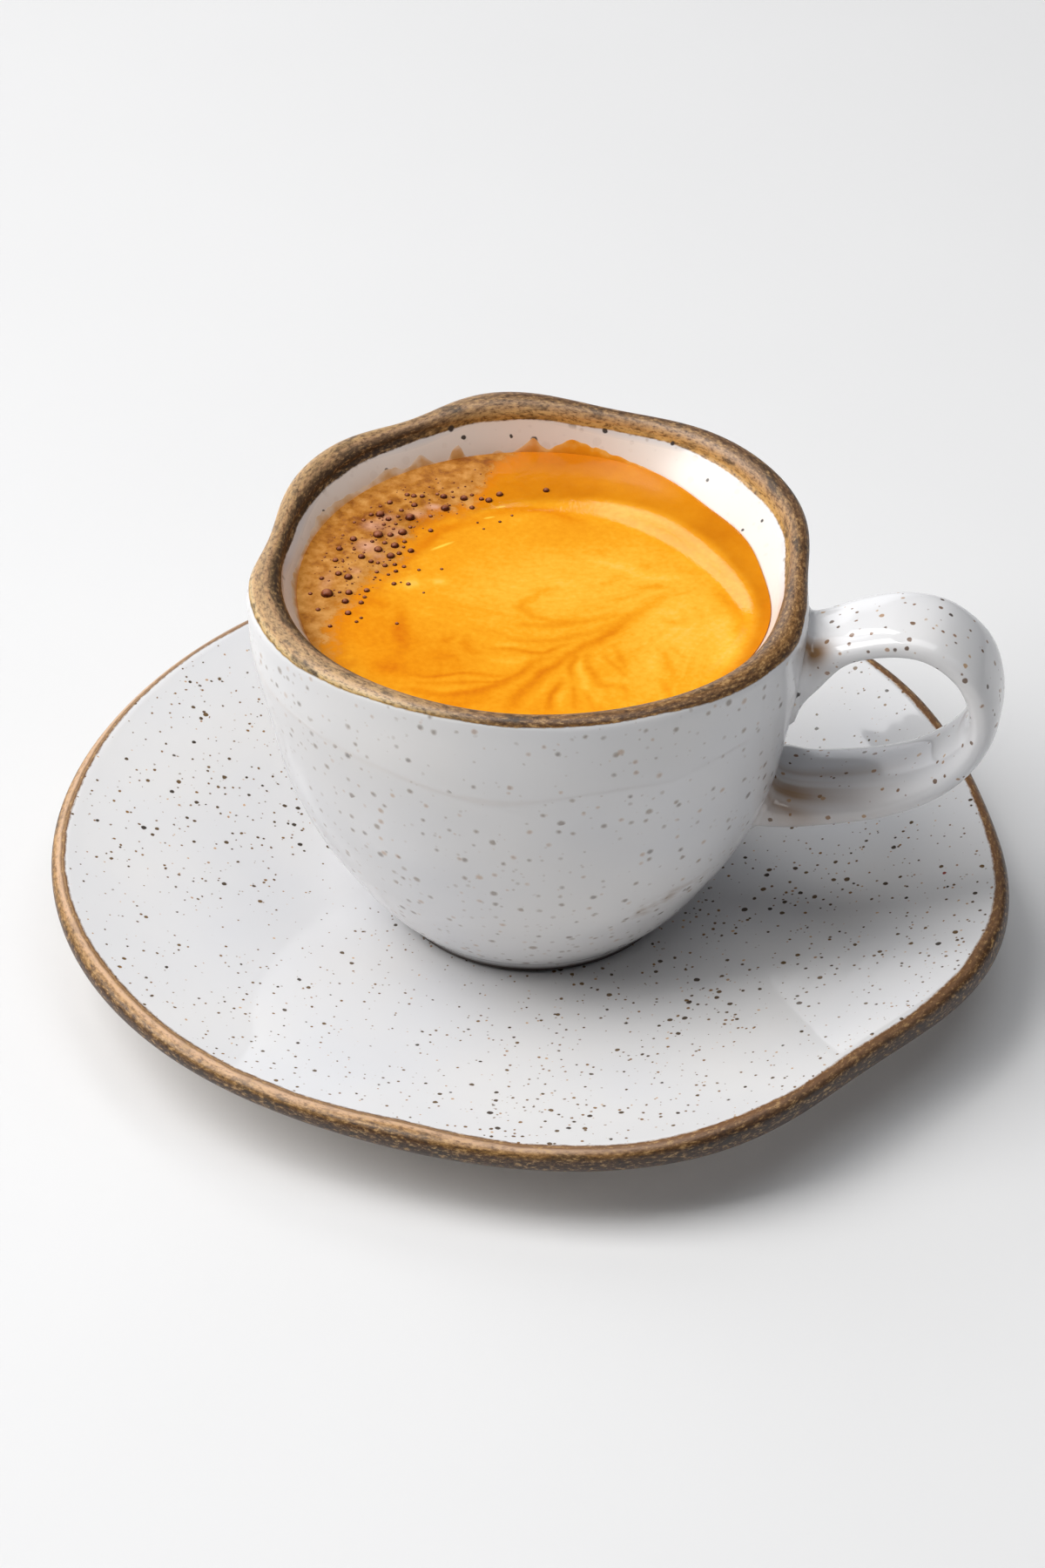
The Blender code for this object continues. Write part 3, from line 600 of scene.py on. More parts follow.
# %% Foam film on the wall
FILM_TOP = ((0, 0.1), (60, 0.1), (76, 0.6), (82, 1.1), (88, 2.0), (93, 2.5), (96, 1.8), (99, 0.9),
            (102, 2.6), (104, 1.9), (107, 0.5), (109, 0.2), (111, 1.0), (113, 0.3), (116, 0.1), (119, 0.4),
            (120.5, 2.5), (122, 2.1), (124, 0.5), (127, 0.5), (130, 2.1), (132, 1.7), (135, 1.0),
            (138, 1.7), (141, 1.6), (146, 1.0), (153, 1.1), (158, 1.5), (165, 1.5), (171, 0.9), (178, 0.6),
            (186, 0.9), (194, 1.2), (206, 0.9), (240, 0.1))
FILM_THICKNESS, FILM_SUNK, FILM_FOOT = 0.16, 0.03, 0.6
FRESH_RIGHT, FRESH_LEFT = 60, 19


def inner_wall(height, turn):
    """Radius inside the cup: the hollow's profile up to the coffee's level, and a straight neck above."""
    inner = dented(*LIP_INNER, np.ravel(turn)).reshape(np.shape(turn))
    lip = waved(LIP_HEIGHT, LIP_WAVES, np.ravel(turn)).reshape(np.shape(turn))
    low = wall_radius(CUP_HOLLOW, HOLLOW, COFFEE_LEVEL, turn)
    return low + (inner - low) * (height - COFFEE_LEVEL) / (lip - COFFEE_LEVEL)


def make_film(columns=600):
    turn = round_about(columns)[None]
    reach = np.interp(np.degrees(turn), *smooth_curve(FILM_TOP, 900).T, period=360).clip(0.05)
    ragged = np.sin(turn * 47 + 2 * np.sin(turn * 17)) + 0.7 * np.sin(turn * 113 + 1.7 * np.sin(turn * 29))
    reach = reach * (1 + 0.08 * ragged)
    loop = round_about(24)[:, None]
    up = (1 - np.cos(loop)) / 2
    height = COFFEE_LEVEL + (-FILM_FOOT + up * (reach + FILM_FOOT)) * MM
    depth = FILM_THICKNESS * (0.35 + 0.65 * (1 - up)) * (0.5 + 0.5 * np.sin(loop)) - FILM_SUNK
    away_back = (np.degrees(turn) - 90 + 180) % 360 - 180
    warm = np.exp(-np.where(away_back > 0, away_back / FRESH_LEFT, away_back / FRESH_RIGHT) ** 2)
    grid = cup_rings(inner_wall(height, turn) - depth * MM, height, turn)
    return skin("foam_film", grid, {"up": up, "warm": warm}, ring=True)


film = make_film()

# %% [markdown]
# The froth bank is full of bubbles, from pinholes to 2 mm across. The large ones are listed by x, y and
# width in millimetres. The pinholes are drawn at random, thickest along the bank, and kept where there is
# froth and no large bubble.

# %% Places of the bubbles
BUBBLES = (
    (-33.1, -8.5, 2.1), (-32.6, -2.7, 1.17), (-34.0, 0.9, 1.07), (-34.1, 4.1, 1.17), (-30.8, -3.3, 1.49),
    (-29.7, -7.4, 1.28), (-31.2, -7.6, 0.64), (-29.7, -9.9, 1.28), (-30.0, 2.7, 1.28), (-28.2, 1.9, 0.96),
    (-31.7, 4.5, 0.64), (-32.5, 7.3, 1.28), (-32.1, 12.9, 0.75), (-33.5, 12.1, 0.64), (-31.2, 14.7, 0.91),
    (-29.8, 15.1, 1.60), (-28.4, 16.3, 0.43), (-26.6, 17.1, 0.91), (-28.1, 14.1, 1.07),
    (-26.7, 15.2, 0.75), (-28.5, 12.4, 0.75), (-26.6, 13.1, 0.69), (-28.8, 9.4, 1.81),
    (-26.7, 11.7, 0.64), (-26.8, 9.9, 1.17), (-25.0, 11.1, 1.60), (-24.7, 15.4, 1.71),
    (-24.1, 12.9, 0.75), (-29.3, 7.4, 0.75), (-27.2, 7.5, 0.96), (-27.8, 5.4, 1.49), (-25.4, 7.2, 1.49),
    (-24.1, 8.7, 0.85), (-23.9, 7.2, 0.64), (-25.4, 4.2, 1.49), (-24.2, 5.3, 0.96), (-22.5, 6.5, 1.17),
    (-27.0, 1.8, 0.75), (-25.7, 1.4, 0.96), (-24.2, 2.1, 0.85), (-25.3, 3.1, 0.53), (-22.6, 1.9, 0.80),
    (-23.6, 0.3, 0.85), (-24.6, -0.9, 0.64), (-26.6, -0.7, 0.75), (-26.5, -2.2, 0.53),
    (-23.1, -3.2, 0.91), (-20.8, -2.7, 0.85), (-22.1, -2.5, 0.43), (-27.0, -6.1, 1.07),
    (-26.9, -8.0, 0.75), (-27.1, -9.6, 0.96), (-28.5, -12.9, 1.17), (-26.1, -13.7, 0.64),
    (-26.6, -14.9, 0.69), (-20.1, -13.9, 0.69), (-20.0, 1.6, 0.64), (-16.4, 2.7, 0.59),
    (-17.8, -4.5, 0.48), (-26.7, 21.8, 0.96), (-25.5, 21.7, 1.07), (-24.1, 21.9, 0.96),
    (-20.6, 22.7, 1.28), (-19.5, 24.4, 0.53), (-19.0, 23.0, 0.64), (-17.2, 23.1, 1.39),
    (-16.1, 24.4, 0.75), (-14.3, 23.7, 0.96), (-13.0, 23.6, 1.28), (-11.6, 25.7, 1.28),
    (-21.8, 23.2, 0.75), (-19.6, 19.5, 1.60), (-15.3, 20.9, 0.96), (-24.8, 19.1, 1.17),
    (-29.0, 18.9, 1.07), (-30.3, 17.5, 0.64), (-21.5, 16.8, 0.75), (-20.6, 12.9, 0.96),
    (-13.5, 17.0, 0.48), (-12.1, 15.5, 0.48), (-9.9, 18.1, 0.59), (-8.3, 20.3, 0.53), (-4.2, 28.7, 1.17),
    (-30.5, -17.0, 0.8), (-33.5, -13.0, 0.9), (-35.0, -4.5, 0.9), (-35.8, -9.0, 0.8))
DRAWN, PINHOLES, SEED = 5000, 150, 11
# Mean and spread of the pinholes' azimuth and radius, least and further width, and how far out they go.
BANK_AZIMUTH, BANK_RADIUS, PINHOLE_WIDTH, PINHOLE_REACH = (158, 34), (31.5, 4.0), (0.20, 0.40), 36.8


def scatter_bubbles():
    """x, y and width of each bubble: the listed ones, then random pinholes that touch none of them."""
    draw = np.random.default_rng(SEED)
    azimuth, radius = np.radians(draw.normal(*BANK_AZIMUTH, DRAWN)), draw.normal(*BANK_RADIUS, DRAWN)
    x, y = radius * np.cos(azimuth), radius * np.sin(azimuth)
    width = PINHOLE_WIDTH[0] + PINHOLE_WIDTH[1] * draw.beta(1.2, 2.4, DRAWN)
    in_froth = (radius < PINHOLE_REACH) & (past(FROTH_BEGINS, x, y) > -0.5)
    found = np.stack([x, y, width], axis=1)[in_froth]
    large = np.array(BUBBLES)
    away = np.hypot(found[:, None, 0] - large[:, 0], found[:, None, 1] - large[:, 1])
    clear = (away > (found[:, None, 2] + large[:, 2]) / 2).all(1)
    return np.concatenate([large, found[clear][:PINHOLES]])


# %% [markdown]
# Each bubble is a thin dome that shows the dark coffee behind it. One dome of a few dozen faces is copied
# by array arithmetic to every place, so all of them are one mesh.

# %% Bubbles
DOME_SIDES, DOME_LEANS, DOME_CROWNS, DOME_HEIGHT, DOME_DEPTH = 14, (90, 60, 30), (0.0, 0.4, 0.8), 0.85, 0.5
DOME_SUNK, CLEAR_OF_WALL = 0.04 * MM, 5 * MM


def make_bubbles():
    """A dome is rings at (sin a, cos a) for each lean a in degrees, closed by a point above and below."""
    x, y, width = scatter_bubbles().T
    centre = cup_centre(COFFEE_LEVEL)
    level = coffee_height(x * MM - centre[0], y * MM - centre[1], CLEAR_OF_WALL) + CUP_BASE
    lean, turn = np.radians(DOME_LEANS)[:, None], round_about(DOME_SIDES)[None]
    dome = np.stack(np.broadcast_arrays(np.sin(lean) * np.cos(turn), np.sin(lean) * np.sin(turn),
                                        DOME_HEIGHT * np.cos(lean)), axis=-1).reshape(-1, 3)
    top, bottom = len(dome), len(dome) + 1
    dome = np.concatenate([dome, [[0, 0, DOME_HEIGHT], [0, 0, -DOME_DEPTH]]])
    row = np.arange(top).reshape(-1, DOME_SIDES)
    after = np.roll(row, -1, axis=1)
    bands = np.stack([row[:-1], after[:-1], after[1:], row[1:]], -1).reshape(-1, 4)
    cap = np.stack([row[-1], after[-1], np.full(DOME_SIDES, top)], -1)
    base = np.stack([after[0], row[0], np.full(DOME_SIDES, bottom)], -1)
    faces = np.concatenate([bands[:, [0, 1, 2]], bands[:, [0, 2, 3]], cap, base])
    place = np.stack([x * MM, y * MM, level - DOME_SUNK], axis=1)
    points = place[:, None] + dome[None] * (width / 2 * MM)[:, None, None]
    index = faces[None] + (np.arange(len(width)) * len(dome))[:, None, None]
    crown = np.append(np.repeat(DOME_CROWNS, DOME_SIDES), [1.0, 0.0])
    print(len(width), "bubbles")
    return new_piece("froth_bubbles", points.reshape(-1, 3), index.reshape(-1, 3).tolist(),
                     {"crown": np.tile(crown, len(width))})


bubbles = make_bubbles()

# %% [markdown]
# Materials are node trees. Colours are written as sRGB hex, as a paint card gives them, and one function
# turns them to linear light. One small function adds a node, whatever its kind, with its settings and
# links. Sockets go by name, or by number where names repeat: MapRange takes the range from 1 to 2 to the
# range from 3 to 4, Math and VectorMath work on 0, 1 and 2, and a colour Mix lays 7 over 6 as far as 0
# says and gives the result at output 2.

# %% Colour and node helpers
def colour(code):
    """sRGB hex to linear RGBA: c/12.92 below 0.04045, else ((c + 0.055)/1.055)^2.4."""
    value = np.array([int(code[i:i + 2], 16) for i in (0, 2, 4)]) / 255
    linear = np.where(value <= 0.04045, value / 12.92, ((value + 0.055) / 1.055) ** 2.4)
    return (*linear.tolist(), 1.0)


def feed(node, inputs):
    """Gives each input its value, or links it from a socket. A string is a colour in hex."""
    for key, value in dict(inputs).items():
        if isinstance(value, bpy.types.NodeSocket):
            node.id_data.links.new(value, node.inputs[key])
        else:
            node.inputs[key].default_value = colour(value) if isinstance(value, str) else value


def add(tree, kind, inputs=(), output=0, stops=(), **settings):
    """Adds one node and returns one of its outputs. Stops are (position, hex) pairs of a colour ramp."""
    node = tree.nodes.new("ShaderNode" + kind)
    for key, value in settings.items():
        setattr(node, key, value)
    feed(node, inputs)
    if stops:
        points = node.color_ramp.elements
        points.remove(points[1])
        points[0].position, points[0].color = stops[0][0], colour(stops[0][1])
        for position, code in stops[1:]:
            points.new(position).color = colour(code)
    return node.outputs[output]


def new_material(name, *labels):
    """A material, its shader, the adder of its nodes, the object's own coordinates, and the surface's
    measures with these labels."""
    material = bpy.data.materials.new(name)
    material.use_nodes = True
    put = functools.partial(add, material.node_tree)
    return (material, material.node_tree.nodes["Principled BSDF"], put, put("TexCoord", output="Object"),
            *(put("Attribute", output="Fac", attribute_name=label) for label in labels))


def heading(azimuth):
    """The level direction of an azimuth in degrees: (cos, sin, 0)."""
    angle = math.radians(azimuth)
    return math.cos(angle), math.sin(angle), 0.0


# %% [markdown]
# Iron in the clay burns through the glaze as specks of 0.2 to 1.2 mm. They are sharp on the flat saucer
# and blurred under the thick glaze of the cup. Each layer of specks is a cell pattern in space: a cell has
# one speck at its own place and size, or none, and a slow noise crowds them here and there. A few large
# ones have places of their own.

# %% Iron specks
# Cell size, least and most radius in mm, share of cells with a speck, colours of middle and edge, cover.
SAUCER_SPECKS = ((1.35, 0.10, 0.36, 0.75, "36260F", "8C6228", 0.95),
                 (2.3, 0.22, 0.54, 0.55, "2A1D0E", "70501E", 0.95),
                 (1.7, 0.10, 0.32, 0.55, "8A5420", "CC9C58", 0.8))
CUP_SPECKS = ((2.2, 0.30, 0.84, 0.68, "50402F", "8C7458", 0.62),
              (2.8, 0.30, 0.78, 0.55, "946536", "BC9260", 0.52),
              (1.8, 0.18, 0.44, 0.55, "5E4B38", "9C8262", 0.48))
HANDLE_SPECKS = ((1.9, 0.18, 0.54, 0.75, "33261C", "8A6038", 0.9),
                 (2.5, 0.24, 0.6, 0.6, "8A5A30", "C29A66", 0.8))
# Large specks: place and width in mm.
SAUCER_SPOTS = ((69.4, 8.2, 14.6, 0.8),)
CUP_SPOTS = ((-8.7, 40.1, 71.2, 1.3), (-20.2, 36.6, 72.4, 0.85), (-31.4, 26.9, 70.5, 0.85),
             (-38.9, 13.0, 70.2, 0.85), (-12.5, 39.4, 71.9, 0.7), (30.3, 23.6, 69.3, 0.7),
             (33.5, 24.2, 71.1, 0.7), (22.5, 34.1, 71.2, 0.75), (-39.1, 19.3, 73.7, 1.2),
             (-22.3, 36.3, 74.1, 1.2), (3.3, 41.7, 73.7, 1.0), (15.3, 39.9, 73.9, 0.85))
HANDLE_SPOTS = ((45.4, -9.8, 61.5, 1.2),)
SOFT_INSIDE, COVER_INSIDE = 0.12, 0.12


def speck_layer(put, place, crowd, spacing, least, most, share, soft):
    """Specks in 3D cells: cover = (radius of the cell's speck - distance to its middle) / softness. The
    radius goes from least to most as the cell's random number goes from 1 - share to 1."""
    away = put("TexVoronoi", {"Vector": place, "Scale": 1 / (spacing * MM)})
    draw = put("SeparateColor", {0: away.node.outputs["Color"]})
    lot = put("Math", {0: draw, 1: crowd}, operation="ADD")
    radius = put("MapRange", {0: lot, 1: 1 - share, 2: 1.0, 3: least / spacing, 4: most / spacing},
                 clamp=False)
    room = put("Math", {0: radius, 1: away}, operation="SUBTRACT")
    edge = put("Math", {0: soft, 1: 1 / spacing}, operation="MULTIPLY")
    return put("Math", {0: room, 1: edge}, operation="DIVIDE", use_clamp=True), draw.node.outputs[1]


def speck_coats(put, place, crowd, inside, specks, soft):
    """Cover and colour of each layer. A speck is darkest in its middle, and fainter inside the cup."""
    blur = put("MapRange", {0: inside, 3: soft, 4: SOFT_INSIDE})
    for spacing, least, most, share, middle, edge, depth in specks:
        cover, tone = speck_layer(put, place, crowd, spacing, least, most, share, blur)
        core = put("MapRange", {0: cover, 1: 0.3, 2: 0.85})
        core = put("Math", {0: core, 1: tone}, operation="MULTIPLY")
        brown = put("Mix", {0: core, 6: edge, 7: middle}, 2, data_type="RGBA")
        thin = put("MapRange", {0: inside, 3: depth, 4: depth * COVER_INSIDE})
        yield put("Math", {0: cover, 1: thin}, operation="MULTIPLY"), brown


# %% [markdown]
# On the edges the glaze was wiped off with a sponge, and iron oxide shows. Its colours run across the band
# and differ round the rim: each further ramp takes over toward its own azimuth. These further ramps hold
# the iron's colour with painted light and shade laid in: lighter, with a pale painted highlight strip, on
# the side toward the lamp on the left, and darker on the cup's shaded front right. The sponge drew the
# grain out along the edge, so the noise is read on a smaller circle than the edge's own. The grain is
# calmest next to the glaze.

# %% Bare brown edges
# A ramp runs across the band. Each of the lit and shaded ramps, the iron's colour with painted light and
# shade for its side of the rim, has its azimuth and how near to it the ramp begins and is alone, as a
# cosine. Calm is where, across the band, the grain begins and is full.
SAUCER_BAND = {
    "radius": 80.0, "calm": (0.10, 0.24),
    "ramp": ((0.0, "8E6230"), (0.03, "7E5632"), (0.11, "825F42"), (0.19, "5E3E1C"), (0.26, "4A301A"),
             (0.35, "463020"), (1.0, "38281E")),
    # Toward the lamp: a lit copy, whose pale stops from 0.11 to 0.15 are a painted highlight along the
    # crest.
    "others": ((215, 0.05, 0.55, (
        (0.0, "7A5220"), (0.02, "6E4824"), (0.05, "A07C54"), (0.075, "84603C"), (0.11, "D4AE8C"),
        (0.15, "D4AC86"), (0.19, "B48854"), (0.25, "8E6836"), (0.32, "5A3C1E"), (0.45, "4E3826"),
        (1.0, "423022"))),)}
CUP_BAND = {
    "radius": 45.0, "calm": (-0.2, -0.1),
    "ramp": ((0.0, "B4863C"), (0.05, "C89A52"), (0.15, "D2A868"), (0.30, "BC9468"), (0.42, "A07C56"),
             (0.52, "86643F"), (0.62, "6C4E34"), (0.75, "7E5E44"), (1.0, "7A5A3C")),
    "others": (
        # Toward the lamp: lit outside with a pale painted highlight near 0.88, and shaded on the inner
        # side.
        (195, 0.0, 0.5, (
            (0.0, "6A4E2A"), (0.06, "48341E"), (0.20, "3A2A1A"), (0.30, "5A4630"), (0.40, "8E7050"),
            (0.48, "B89068"), (0.58, "AC8A60"), (0.70, "B08C5E"), (0.80, "C49C6C"), (0.88, "D8BA8C"),
            (0.94, "CCAE78"), (0.97, "A8843C"), (1.0, "9C7430"))),
        # Toward the front right: a darker, shaded copy, painted shade.
        (320, 0.3, 0.8, (
            (0.0, "B07A34"), (0.05, "785A3C"), (0.12, "6E573C"), (0.30, "7A5C40"), (0.45, "846444"),
            (0.55, "8E6A44"), (0.65, "8E663A"), (0.78, "7A5632"), (0.90, "644424"), (0.97, "7E5626"),
            (1.0, "704C1E"))))}
GRAIN_STRETCH = 2.5
RAGGED = 0.022


def bare_edge(put, place, from_edge, at, patch, band):
    """The band's cover, its colour, its fine grain and its blots. The band covers where the ragged measure
    lies between 0 and 1."""
    flat = put("VectorMath", {0: place, 1: (1.0, 1.0, 0.0)}, operation="MULTIPLY")
    outward = put("VectorMath", {0: flat}, operation="NORMALIZE")
    deep = put("Math", {0: from_edge, 1: MM}, operation="MULTIPLY")
    deep = put("CombineXYZ", {2: deep})
    circle = (band["radius"] * MM / GRAIN_STRETCH,) * 3
    drawn = put("VectorMath", {0: outward, 1: circle, 2: deep}, operation="MULTIPLY_ADD")
    grain = put("TexNoise", {"Vector": drawn, "Scale": 2200.0, "Detail": 4.0, "Roughness": 0.7})
    blots = put("TexNoise", {"Vector": drawn, "Scale": 420.0, "Detail": 3.0, "Roughness": 0.6})
    ragged = put("Math", {0: grain, 1: patch}, operation="ADD")
    ragged = put("MapRange", {0: ragged, 1: 0.7, 2: 1.3, 3: -RAGGED, 4: RAGGED})
    at = put("Math", {0: at, 1: ragged}, operation="ADD")
    end = put("Math", {0: 1.0, 1: at}, operation="SUBTRACT")
    within = put("Math", {0: at, 1: end}, operation="MINIMUM")
    bare = put("MapRange", {0: within, 1: -0.015, 2: 0.02})

    iron = put("ValToRGB", {0: at}, stops=band["ramp"])
    for azimuth, begin, alone, ramp in band["others"]:
        side = put("VectorMath", {0: outward, 1: heading(azimuth)}, "Value", operation="DOT_PRODUCT")
        side = put("MapRange", {0: side, 1: begin, 2: alone})
        # The iron's colour with painted light and shade for this side of the rim.
        side_light_and_shade = put("ValToRGB", {0: at}, stops=ramp)
        iron = put("Mix", {0: side, 6: iron, 7: side_light_and_shade}, 2, data_type="RGBA")
    begin, full = band["calm"]
    grained = put("MapRange", {0: at, 1: begin, 2: full, 3: 0.25})
    fleck = put("MapRange", {0: grain, 1: 0.48, 2: 0.66, 4: 0.9})
    blot = put("MapRange", {0: blots, 1: 0.54, 2: 0.67, 4: 0.72})
    fleck, blot = (put("Math", {0: cover, 1: grained}, operation="MULTIPLY") for cover in (fleck, blot))
    sand = put("MapRange", {0: grain, 1: 0.47, 2: 0.34, 4: 0.6})
    for cover, code, blend in ((fleck, "74604C", "MULTIPLY"), (blot, "34291F", "MIX"),
                               (sand, "D0A870", "MIX")):
        iron = put("Mix", {0: cover, 6: iron, 7: code}, 2, data_type="RGBA", blend_type=blend)
    return bare, iron, grain, blots


# %% [markdown]
# The glaze itself is glossy, off-white and a little blue where it pools. Inside the cup it has dulled, its
# white is painted lighter and warmer as the light the crema throws back, and coffee has dried on it in a
# veil. Iron was smeared onto it beside the handle, and a wide faint smear round the handle's lower root
# is painted shade of the cup on the lower bar. The foot is bare brown clay; on the cup this dark reaches
# higher up the foot as painted shade where the cup stands on the saucer.
# These lie one over another, so the material is a list of coats, each with its cover and its colour.

# %% Stoneware glaze
BELOW_LIP = (-5.0, -4.0)
SHAKE = 0.35 * MM
GLOSS, GLOSS_INSIDE, ROUGH_BARE = 0.04, 0.30, 0.42
SPOT_EDGE, SPOT_CORE = 0.56 * MM, 0.36 * MM


def glaze(name, specks, soft, spots, spot_code, band):
    material, shader, put, place, from_edge, stain, smear_and_shade, at, foot = new_material(
        name, "from_edge", "stain", "smear_and_shade", "band", "bare_foot_and_shade")
    inside = put("MapRange", {0: from_edge, 1: BELOW_LIP[0], 2: BELOW_LIP[1], 3: 1.0, 4: 0.0})
    patch, crowd, drift, wave = (put("TexNoise", {"Vector": place, "Scale": scale, "Detail": detail})
                                 for scale, detail in ((130.0, 3.0), (42.0, 2.0), (30.0, 2.0), (90.0, 1.0)))
    crowd = put("MapRange", {0: crowd, 1: 0.3, 2: 0.7, 3: -0.20, 4: 0.16})
    shake = put("TexNoise", {"Vector": place, "Scale": 1300.0, "Detail": 2.0}, "Color")
    shake = put("VectorMath", {0: shake, 1: (0.5, 0.5, 0.5)}, operation="SUBTRACT")
    shaken = put("VectorMath", {0: shake, 1: (SHAKE,) * 3, 2: place}, operation="MULTIPLY_ADD")
    bare, iron, grain, blots = bare_edge(put, place, from_edge, at, patch, band)

    veil = put("MapRange", {0: patch, 1: 0.3, 2: 0.7, 3: 0.55})
    streak = put("MapRange", {0: blots, 1: 0.40, 2: 0.66})
    # The smear holds iron wiped on, and on the handle also a painted shade round the lower root.
    stain, smear_and_shade = (put("Math", {0: cover, 1: worn}, operation="MULTIPLY", use_clamp=True)
                    for cover, worn in ((stain, veil), (smear_and_shade, streak)))
    # The bare foot's colour, which on the cup also paints the shade where it stands on the saucer.
    clay_and_contact_shade = put("Mix", {0: patch, 6: "221812", 7: "3E2C20"}, 2, data_type="RGBA")
    # Inside, the white is painted lighter and warmer, as the light the crema throws back onto the wall.
    coats = [(inside, "F2EAE2"), *speck_coats(put, shaken, crowd, inside, specks, soft),
             (stain, "C99A6A"), (smear_and_shade, "94704A"), (bare, iron)]
    for *spot, width in spots:
        away = put("VectorMath", {0: shaken, 1: tuple(v * MM for v in spot)}, "Value", operation="DISTANCE")
        cover = put("MapRange", {0: away, 1: width * SPOT_EDGE, 2: width * SPOT_CORE, 4: 0.95})
        coats.append((cover, spot_code))
    base = put("Mix", {0: drift, 6: "D9DBE0", 7: "EAE7E3"}, 2, data_type="RGBA")
    for cover, tint in (*coats, (foot, clay_and_contact_shade)):
        base = put("Mix", {0: cover, 6: base, 7: tint}, 2, data_type="RGBA")

    rub = put("Math", {0: bare, 1: foot}, operation="MAXIMUM")
    gloss = put("MapRange", {0: inside, 3: GLOSS, 4: GLOSS_INSIDE})
    rough = put("Mix", {0: rub, 2: gloss, 3: ROUGH_BARE})
    grit = put("Math", {0: grain, 1: rub}, operation="MULTIPLY")
    relief = put("Math", {0: grit, 1: 0.3, 2: wave}, operation="MULTIPLY_ADD")
    bump = put("Bump", {"Height": relief, "Strength": 0.6, "Distance": 0.12 * MM})
    feed(shader, {"Base Color": base, "Roughness": rough, "Normal": bump, "IOR": 1.53})
    return material


for piece, label, *look in ((saucer, "saucer", SAUCER_SPECKS, 0.12, SAUCER_SPOTS, "8A2E18", SAUCER_BAND),
                            (cup, "cup", CUP_SPECKS, 0.42, CUP_SPOTS, "2A221E", CUP_BAND),
                            (handle, "handle", HANDLE_SPECKS, 0.14, HANDLE_SPOTS, "2A221E", CUP_BAND)):
    piece.data.materials.append(glaze("stoneware_glaze_" + label, *look))
print("glazes on the saucer, the cup and its handle")

# %% [markdown]
# Crema is a foam of fine bubbles in coffee oils. Between the strands it is streaked finer still. Those
# streaks follow a flow that comes in from both sides and turns along the stem: x*y is the same along such a
# line, so a noise that is fine across x*y and stretched along it gives them.

# %% Fine streaks of the crema
STEM_START, STEM_ANGLE = (3.0 * MM, -27.0 * MM, 0.0), math.radians(52.0)
FLOW_WARP = 8 * MM
STREAKS_ACROSS, STREAKS_ALONG = 260.0 / (9 * MM), 40.0


def flow_streaks(put, place):
    """Noise of x*y and x - y, with the origin at the stem's start and x along the stem."""
    warp = put("TexNoise", {"Vector": place, "Scale": 60.0, "Detail": 3.0}, "Color")
    warp = put("VectorMath", {0: warp, 1: (0.5, 0.5, 0.5)}, operation="SUBTRACT")
    moved = put("VectorMath", {0: warp, 1: (FLOW_WARP,) * 3, 2: place}, operation="MULTIPLY_ADD")
    turned = put("VectorRotate", {"Vector": moved, "Center": STEM_START, "Angle": -STEM_ANGLE},
                 rotation_type="Z_AXIS")
    turned = put("VectorMath", {0: turned, 1: STEM_START}, operation="SUBTRACT")
    east = put("SeparateXYZ", {0: turned})
    north = east.node.outputs[1]
    across = put("Math", {0: east, 1: north}, operation="MULTIPLY")
    across = put("Math", {0: across, 1: STREAKS_ACROSS}, operation="MULTIPLY")
    way = put("Math", {0: east, 1: north}, operation="SUBTRACT")
    way = put("Math", {0: way, 1: STREAKS_ALONG}, operation="MULTIPLY")
    bent = put("CombineXYZ", {0: across, 1: way})
    return put("TexNoise", {"Vector": bent, "Scale": 1.0, "Detail": 3.5, "Roughness": 0.6})


# %% [markdown]
# The crema is satin and wet, golden where it is thick and deep orange where it is thin, toward the wall.
# The froth is tan foam with a torn edge, a deep orange fringe and a few pinkish patches. The swell is too
# gentle to see as a form, so the relief carries it.

# %% Crema
FAN_MIDDLE = (6 * MM, -16 * MM, 68.8 * MM)
PORE_SHARE, CLOUD_SHARE = 0.3, 0.6


